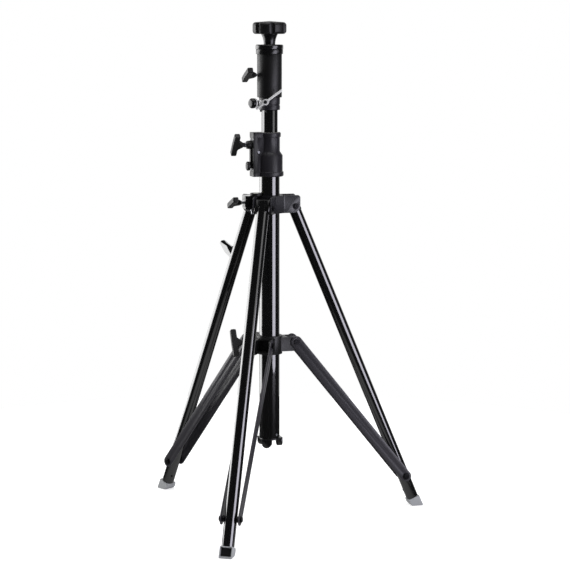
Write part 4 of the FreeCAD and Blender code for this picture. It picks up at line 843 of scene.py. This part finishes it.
@dataclass
class Leg:
    """One leg with its brace: tube, top block, shoe, bolt, bars, and the left leg's horn.

    Rise and run are how far the tube reaches above and below its pivot. The brace bolt is
    measured from the middle of the tube.
    """

    side: Side
    radius: float = 15.0
    wall: float = 1.6
    lip: float = 0.4
    rise: float = 14.0
    run: float = 815.48
    bolt: Fastener = Fastener(6.4, 3.4, 0.0, 8.6)
    bolt_radius: float = 4.0
    bolt_seat: float = 23.6
    bolt_reach: float = 23.9
    spacer: tuple[float, float, float] = (7.6, 13.6, 19.9)
    screw: Fastener = Fastener(2.8, 1.5)
    screw_turn: float = 154.0
    screw_rise: float = 24.0
    screw_sink: float = 0.3
    shoe_length: float = 34.0
    shoe_width: float = 31.0
    shoe_rise: float = 5.0
    shoe_wall: float = 3.0
    shoe_depth: float = 9.0
    plug: float = 42.0
    plug_play: float = 0.2

    @property
    def body(self) -> str:
        """The body that carries the leg."""
        return f"leg_{self.side.word}"

    def place(self) -> Matrix:
        """The leg's frame: origin on the pivot, Z up along the tube, Y along the bolt."""
        pivot = joint(f"leg_{self.side.word}_fold")
        brace = joint(f"brace_{self.side.word}_fold")
        top = Vector(pivot["pos_m"])
        along = (top - Vector(brace["pos_m"])).normalized()
        across = -Vector(pivot["axis"])
        return frame_of(top, across.cross(along), across, along)

    def build(self) -> None:
        """Makes the leg's pieces."""
        tube = Workpiece(f"{self.body}_tube_coated")
        tube.tube(self.radius, self.wall, self.lip, -self.run, self.rise, 120)
        tube.place(self.place())
        tube.hand_over(GLOSS_POWDER, self.body, (f"{self.body}_tube",), crease=30.0)
        Copy(f"{self.body}_top_block", POLISHED_NYLON, self.body, 1.6).build()
        self.shoe()
        self.brace_bolt()
        self.shoe_screw()
        if self.side is Side.LEFT:
            self.horn()
        brace = f"brace_{self.side.word}"
        Copy(f"{brace}_bars", SATIN_BAR, brace, 0.5).build()

    def horn(self) -> None:
        """The horn: a dark flank by the tube, and a broad flat that faces outwards."""
        flank = (
            (14.0, 3.0, -121.3), (21.5, 3.0, -128.9), (41.0, 2.6, -128.9),
            (53.8, 1.5, -127.0), (62.9, 0.8, -133.3), (61.2, 3.2, -136.1),
            (35.7, 7.0, -133.4), (24.0, 7.0, -140.4), (9.0, 7.0, -148.0), (6.0, 5.0, -135.0),
        )
        brow = (
            (14.0, 0.0, -121.6), (24.0, -1.0, -130.0), (43.0, -1.0, -130.0),
            (56.0, -2.0, -128.2), (65.0, -2.5, -134.5), (64.7, 2.0, -140.7),
            (52.4, 2.0, -147.0), (40.8, 2.0, -153.6), (14.0, 4.9, -156.3), (6.0, 2.0, -135.0),
        )
        back = tuple((x, -8.0, z) for x, z in (
            (14.0, -122.8), (26.0, -132.3), (45.0, -132.3), (56.5, -130.8), (65.0, -135.7),
            (63.0, -139.7), (51.0, -145.5), (39.6, -151.9), (14.0, -154.8), (6.0, -135.0),
        ))
        horn = Workpiece("leg_left_horn_moulded")
        horn.loft((flank, brow, back)).place(self.place())
        horn.hand_over(GLOSS_POWDER, self.body, ("leg_left_horn",), crease=7.0)

    def stand_frame(self) -> Matrix:
        """The upright frame of the leg: X level along it, Y up, origin under the column."""
        side = outward(self.side.value)
        return frame_of(column_axis(), side, UP, side.cross(UP))

    def tube_end(self) -> list[tuple[float, float]]:
        """The outer and the inner edge of the tube's lower end, as reach and level."""
        edges = []
        for sign in (1.0, -1.0):
            edge = self.place() @ Vector((sign * self.radius * MM, 0.0, -self.run * MM))
            edges.append((reach_of(edge), edge.z / MM))
        return sorted(edges, reverse=True)

    def shoe(self) -> None:
        """The shoe: a shell with its toe end open, a black plate of painted shade at the pocket's
        bottom, and its plug.
        """
        low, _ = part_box("leg_front_shoe")
        toe = (column_axis().y - low.y) / MM
        heel, rise = toe - self.shoe_length, self.shoe_rise
        outer, inner = self.tube_end()
        shoe = Workpiece(f"{self.body}_shoe_moulded")
        shoe.slab((
            (heel + rise, 0.0), (toe, 0.0), (toe, rise / 2.0), outer, inner, (heel, rise),
        ), -self.shoe_width / 2.0, self.shoe_width / 2.0)
        middle = (Vector((toe, rise / 2.0, 0.0)) + Vector((*outer, 0.0))) / 2.0
        ring = self.open_toe(shoe, middle)
        shoe.place(self.stand_frame())
        foot = Matrix.Translation(-UP * (self.run + self.shoe_wall) * MM)
        plug = self.radius - self.wall - self.plug_play
        shoe.rod(plug, self.plug + self.shoe_wall).place(self.place() @ foot)
        shoe.hand_over(POLYPROPYLENE, self.body, (f"{self.body}_shoe",), edge=0.8)
        # A thin black nylon plate just proud of the pocket's bottom: painted shade that darkens
        # the hollow toe.
        shade_plate = Workpiece(f"{self.body}_shoe_core")
        lift = Vector((1.2, 0.2, 0.0))
        shade_plate.loft((ring, [point + lift for point in ring])).place(self.stand_frame())
        shade_plate.hand_over(NYLON, self.body)

    def open_toe(self, shoe: Workpiece, middle: Vector) -> list[Vector]:
        """Sinks a pocket into the shoe's sloping toe.

        Args:
            shoe: The shoe before it is placed.
            middle: The middle of the toe's face.

        Returns:
            The corners of a black plate of painted shade that just covers the pocket's bottom.
        """
        bmesh.ops.recalc_face_normals(shoe.mesh, faces=shoe.mesh.faces[:])
        front = min(
            shoe.mesh.faces, key=lambda face: (face.calc_center_median() - middle).length
        )
        bmesh.ops.inset_individual(shoe.mesh, faces=[front], thickness=self.shoe_wall, depth=0.0)
        bottom = bmesh.ops.extrude_discrete_faces(shoe.mesh, faces=[front])["faces"][0]
        inward = Vector((-self.shoe_depth, -self.shoe_rise * 0.3, 0.0))
        bmesh.ops.translate(shoe.mesh, verts=bottom.verts[:], vec=inward)
        centre = bottom.calc_center_median()
        shrink, proud = 0.97, Vector((0.2, 0.0, 0.0))
        return [centre + (vert.co - centre) * shrink + proud for vert in bottom.verts]

    def shoe_screw(self) -> None:
        """The small screw that holds the shoe's plug in the tube."""
        turned = self.place() @ Matrix.Rotation(math.radians(self.screw_turn), 4, "Z")
        reach, level = self.radius - self.screw_sink, self.screw_rise - self.run
        spot = turned @ Vector((reach * MM, 0.0, level * MM))
        screw = Workpiece(f"{self.body}_shoe_screw")
        self.screw.dome(screw, axis_frame(spot, turned.col[0].to_3d()))
        screw.hand_over(BLACK_OXIDE, self.body)

    def brace_bolt(self) -> None:
        """The bolt through tube, spacers and bars, with domed ends."""
        radius, near, far = self.spacer
        bolt = Workpiece(f"{self.body}_brace_bolt_turned")
        for middle, seat in both_ends(f"brace_{self.side.word}_fold", self.bolt_seat):
            bolt.rod(self.bolt_radius, self.bolt_reach, 24).place(middle)
            bolt.lathe(rounded((
                (self.bolt_radius, near), (radius, near, 0.8), (radius, far, 0.8),
                (self.bolt_radius, far),
            ), 3), 36).place(middle)
            self.bolt.head(bolt, seat)
        bolt.hand_over(BLACK_OXIDE, self.body, (f"{self.body}_brace_bolt",))


@dataclass
class BrakeSpring:
    """The brake's spring between the crank's boss and the knob."""

    boss_end: float = 57.6
    radius: float = 5.4
    wire: float = 0.8
    turns: float = 3.5

    def build(self) -> None:
        """Winds the spring."""
        knob = joint_frame("brake_knob_turn").translation
        foot = self.boss_end + self.wire
        length = reach_of(knob) - foot - self.wire
        spring = Workpiece("brake_spring")
        spring.coil(self.radius, self.wire, self.turns, length)
        spring.place(spigot_frame(GEARBOX_AZIMUTH, foot, knob.z / MM))
        spring.hand_over(ZINC, "crank")


@dataclass
class Lock:
    """The locking plunger on the riser's collar, and the stop pin under the collar."""

    pin_reach: float = 22.0
    pin_radius: float = 1.9
    pin_drop: float = 4.6

    def build(self) -> None:
        """Turns the plunger's knob and the pin."""
        self.pull_knob()
        self.stop_pin()

    def pull_knob(self) -> None:
        """The plunger's stem and its moulded knob, with a bright ring let into it."""
        low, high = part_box("lock_plunger")
        level = (low.z + high.z) / 2.0 / MM
        place = spigot_frame(PLUNGER_AZIMUTH, 0.0, level)
        knob = Workpiece("lock_plunger_turned")
        knob.lathe(rounded((
            (0.0, 16.4), (3.0, 17.0, 0.3), (3.0, 38.4), (7.0, 38.4, 0.3), (7.4, 43.6, 0.6),
            (11.2, 44.4, 1.2), (11.6, 46.8, 0.3), (10.6, 47.2), (10.6, 49.4), (11.4, 49.8, 0.4),
            (12.3, 51.4, 0.8), (12.3, 56.4, 3.6), (8.4, 60.2, 3.0), (0.0, 60.5),
        )), 72, closed=False).place(place)
        knob.hand_over(POLISHED_NYLON, "plunger", ("lock_plunger",), crease=40.0)
        ring = Workpiece("lock_plunger_ring")
        ring.lathe(rounded((
            (10.4, 47.2), (12.1, 47.2, 0.5), (12.1, 49.4, 0.5), (10.4, 49.4),
        ), 3), 72).place(place)
        ring.hand_over(CHROME, "plunger")

    def stop_pin(self) -> None:
        """The small stop under the riser's collar that meets the housing's rim."""
        low, _ = span_of("riser_collar")
        point = column_point(GEARBOX_AZIMUTH, self.pin_reach, low)
        pin = Workpiece("riser_stop_pin")
        radius, foot = self.pin_radius, -self.pin_drop
        pin.lathe(rounded((
            (0.0, foot), (radius, foot, 0.8), (radius, 0.3), (0.0, 0.3),
        )), 20, closed=False).place(Matrix.Translation(point))
        pin.hand_over(BLACK_OXIDE, "riser")


# ---- studio


@dataclass
class Studio:
    """The pale floor, the lamps, the backdrop's light and the photograph's camera.

    The camera's sizes are degrees and millimetres, the others metres. A ramp is a range and
    the brightness at its ends: of reach for the floor's shine, and for the world's light of
    how straight a ray runs away from the camera, or upwards.
    """

    view_azimuth: float = 14.722
    view_height: float = 7.379
    distance: float = 4529.6
    aim_height: float = 624.15
    lens: float = 116.76
    shift: tuple[float, float] = (0.0272, -0.0329)
    lamp_aim: float = 0.62
    floor_radius: float = 1.6
    floor_drop: float = 0.0005
    floor_glow: float = 0.55
    floor_shine: Ramp = (0.32, 0.62, 0.33, 0.02)
    behind: Ramp = (0.55, 0.98, 0.02, 0.9)
    overhead: Ramp = (0.70, 0.88, 0.0, 0.95)
    diffuse: Ramp = (-1.0, 0.6, 0.35, 1.1)

    def build(self) -> None:
        """Sets up floor, lamps, world and camera."""
        self.floor()
        self.lamps()
        self.world()
        self.camera()
        bpy.context.scene.view_settings.view_transform = "Standard"

    def view_axes(self) -> tuple[Vector, Vector]:
        """The level directions towards the camera and to the picture's left."""
        turn = math.radians(self.view_azimuth)
        towards = Vector((math.sin(turn), -math.cos(turn), 0.0))
        left = Vector((-math.cos(turn), -math.sin(turn), 0.0))
        return towards, left

    def floor(self) -> None:
        """A round of pale floor whose rim melts into the backdrop."""
        disc = bmesh.new()
        bmesh.ops.create_circle(disc, cap_ends=True, segments=96, radius=self.floor_radius)
        bmesh.ops.translate(disc, verts=disc.verts[:], vec=(0.0, 0.0, -self.floor_drop))
        mesh = bpy.data.meshes.new("floor")
        disc.to_mesh(mesh)
        disc.free()
        floor = add_object("floor", mesh)
        material = bpy.data.materials.new("pale_paper")
        tree = fresh_tree(material)
        paper = add_node(tree, "ShaderNodeBsdfDiffuse", {"Color": linear_colour("#e4e4e4")})
        glow = add_node(tree, "ShaderNodeEmission", {"Strength": self.floor_glow})
        path = add_node(tree, "ShaderNodeLightPath").outputs
        lit = add_node(tree, "ShaderNodeAddShader", {0: paper.outputs[0], 1: glow.outputs[0]})
        both = add_node(tree, "ShaderNodeMixShader", {
            0: path["Is Camera Ray"], 1: paper.outputs[0], 2: lit.outputs[0],
        })
        place = add_node(tree, "ShaderNodeTexCoord").outputs["Object"]
        reach = add_node(tree, "ShaderNodeVectorMath", {0: place}, operation="LENGTH")
        shine = eased(tree, reach.outputs["Value"], self.floor_shine)
        shade = add_node(tree, "ShaderNodeEmission", {"Strength": shine})
        all_rays = add_node(tree, "ShaderNodeMixShader", {
            0: path["Is Glossy Ray"], 1: both.outputs[0], 2: shade.outputs[0],
        })
        add_node(tree, "ShaderNodeOutputMaterial", {"Surface": all_rays.outputs[0]})
        mesh.materials.append(material)

    def lamp(
        self, name: str, bearing: float, height: float, reach: float, size: tuple[float, float],
        radiance: float, tint: str,
    ) -> None:
        """A soft box that faces the stand.

        Args:
            name: The lamp's name.
            bearing: Degrees to the picture's left from the camera, seen from the stand.
            height: The height of its centre in metres.
            reach: Its level distance from the column in metres.
            size: Its width and height in metres.
            radiance: How bright its face is, where one is white.
            tint: Its colour as a hex code.
        """
        towards, left = self.view_axes()
        turn = math.radians(bearing)
        spot = (towards * math.cos(turn) + left * math.sin(turn)) * reach + column_axis()
        spot.z = height
        light = bpy.data.lights.new(name, "AREA")
        light.shape = "RECTANGLE"
        light.size, light.size_y = size
        light.energy = radiance * size[0] * size[1] * math.pi
        light.color = linear_colour(tint)[:3]
        box = add_object(name, light)
        box.location = spot
        aim = column_axis() + UP * self.lamp_aim - spot
        box.rotation_euler = aim.to_track_quat("-Z", "Y").to_euler()

    def lamps(self) -> None:
        """Boxes to the left and behind, front right with a weaker one above, and on top."""
        self.lamp("left_box", 118.0, 0.75, 3.0, (2.4, 2.6), 3.4, "#ffffff")
        self.lamp("right_strip", -52.0, 0.65, 3.0, (1.9, 1.7), 4.0, "#f3f1ff")
        self.lamp("right_haze", -52.0, 2.05, 3.0, (1.6, 1.1), 0.9, "#ffffff")
        self.lamp("top_box", -20.0, 3.4, 0.6, (1.2, 1.2), 1.6, "#ffffff")

    def world(self) -> None:
        """White to the camera; in gloss, white behind the stand and overhead; else dimmer."""
        world = bpy.data.worlds.new("studio")
        bpy.context.scene.world = world
        tree = fresh_tree(world)
        path = add_node(tree, "ShaderNodeLightPath").outputs
        towards, _ = self.view_axes()
        ray = add_node(tree, "ShaderNodeTexCoord").outputs["Generated"]
        away = add_node(
            tree, "ShaderNodeVectorMath", {0: ray, 1: -towards}, operation="DOT_PRODUCT"
        ).outputs["Value"]
        rise = add_node(tree, "ShaderNodeSeparateXYZ", {0: ray}).outputs["Z"]
        bright = add_node(tree, "ShaderNodeMath", {
            0: eased(tree, away, self.behind), 1: eased(tree, rise, self.overhead),
        }, operation="MAXIMUM")
        mirrored = add_node(tree, "ShaderNodeMath", {
            0: path["Is Glossy Ray"], 1: path["Is Transmission Ray"],
        }, operation="MAXIMUM")
        level = add_node(tree, "ShaderNodeMix", {
            "Factor": mirrored.outputs[0], "A": eased(tree, away, self.diffuse),
            "B": bright.outputs[0],
        })
        strength = add_node(tree, "ShaderNodeMix", {
            "Factor": path["Is Camera Ray"], "A": level.outputs["Result"], "B": 1.0,
        })
        light = add_node(tree, "ShaderNodeBackground", {
            "Color": (1.0, 1.0, 1.0, 1.0), "Strength": strength.outputs["Result"],
        })
        add_node(tree, "ShaderNodeOutputWorld", {"Surface": light.outputs["Background"]})

    def camera(self) -> None:
        """The camera at the photograph's viewpoint."""
        towards, _ = self.view_axes()
        rise = math.radians(self.view_height)
        direction = towards * math.cos(rise) + UP * math.sin(rise)
        target = column_axis() + UP * self.aim_height * MM
        data = bpy.data.cameras.new("photograph")
        data.sensor_fit = "HORIZONTAL"
        data.sensor_width = 36.0
        data.lens = self.lens
        data.shift_x, data.shift_y = self.shift
        camera = add_object("photograph", data)
        camera.location = target + direction * self.distance * MM
        camera.rotation_euler = (-direction).to_track_quat("-Z", "Y").to_euler()
        bpy.context.scene.camera = camera


def main() -> None:
    """Dresses the parts, builds the stand from the column up, then the studio round it."""
    logging.basicConfig(level=logging.INFO, format="%(name)s: %(message)s")
    dress_kept()
    for assembly in (
        Column(),
        *(Copy(f"spider_plate_{place}", STOVE_ENAMEL, "column", 0.6)
          for place in ("right", "rear", "left")),
        Copy("spider_clamp_block", GLOSS_MOULDING, "column", 1.6),
        Spider(),
        *(Leg(side) for side in Side),
        Copy("brace_collar", NYLON, "collar", 1.0),
        Copy("gearbox_housing", CAST_PAINT, "column", 0.8),
        Copy("gearbox_cover", NYLON, "column", 0.9),
        Copy("crank_arm", NYLON, "crank", 2.0),
        Copy("crank_grip", NYLON, "grip", 0.4),
        TeeKnob("brake_knob", "brake", "brake_knob_turn", 135.0),
        BrakeSpring(),
        Copy("riser_tube", GLOSS_POWDER, "riser", 0.3),
        Copy("riser_collar", CAST_PAINT, "riser", 0.5),
        Copy("lock_barrel", CHROME, "riser", 0.3),
        Lock(),
        Copy("release_lever", CHROME, "lever", 0.8),
        Copy("inner_riser_tube", GLOSS_POWDER, "head", 0.3),
        Copy("head_barrel", SATIN_POWDER, "head", 0.4),
        Copy("head_band", SEMI_GLOSS_POWDER, "head", 0.3),
        Copy("head_rim", POLISHED_NYLON, "head", 0.3),
        Copy("socket_plug", SEMI_GLOSS_POWDER, "plug", 0.5),
        Copy("star_knob", SATIN_POWDER, "plug", 2.0),
        TeeKnob("head_clamp_knob", "head_clamp", "head_clamp_turn", 112.0, 16.3),
        TeeKnob("spider_knob", "spider_clamp", "spider_knob_turn", 108.0, 25.3),
        TeeKnob("collar_knob", "collar_clamp", "collar_knob_turn", 208.0, 25.6),
        Studio(),
    ):
        assembly.build()


if __name__ == "__main__":
    main()
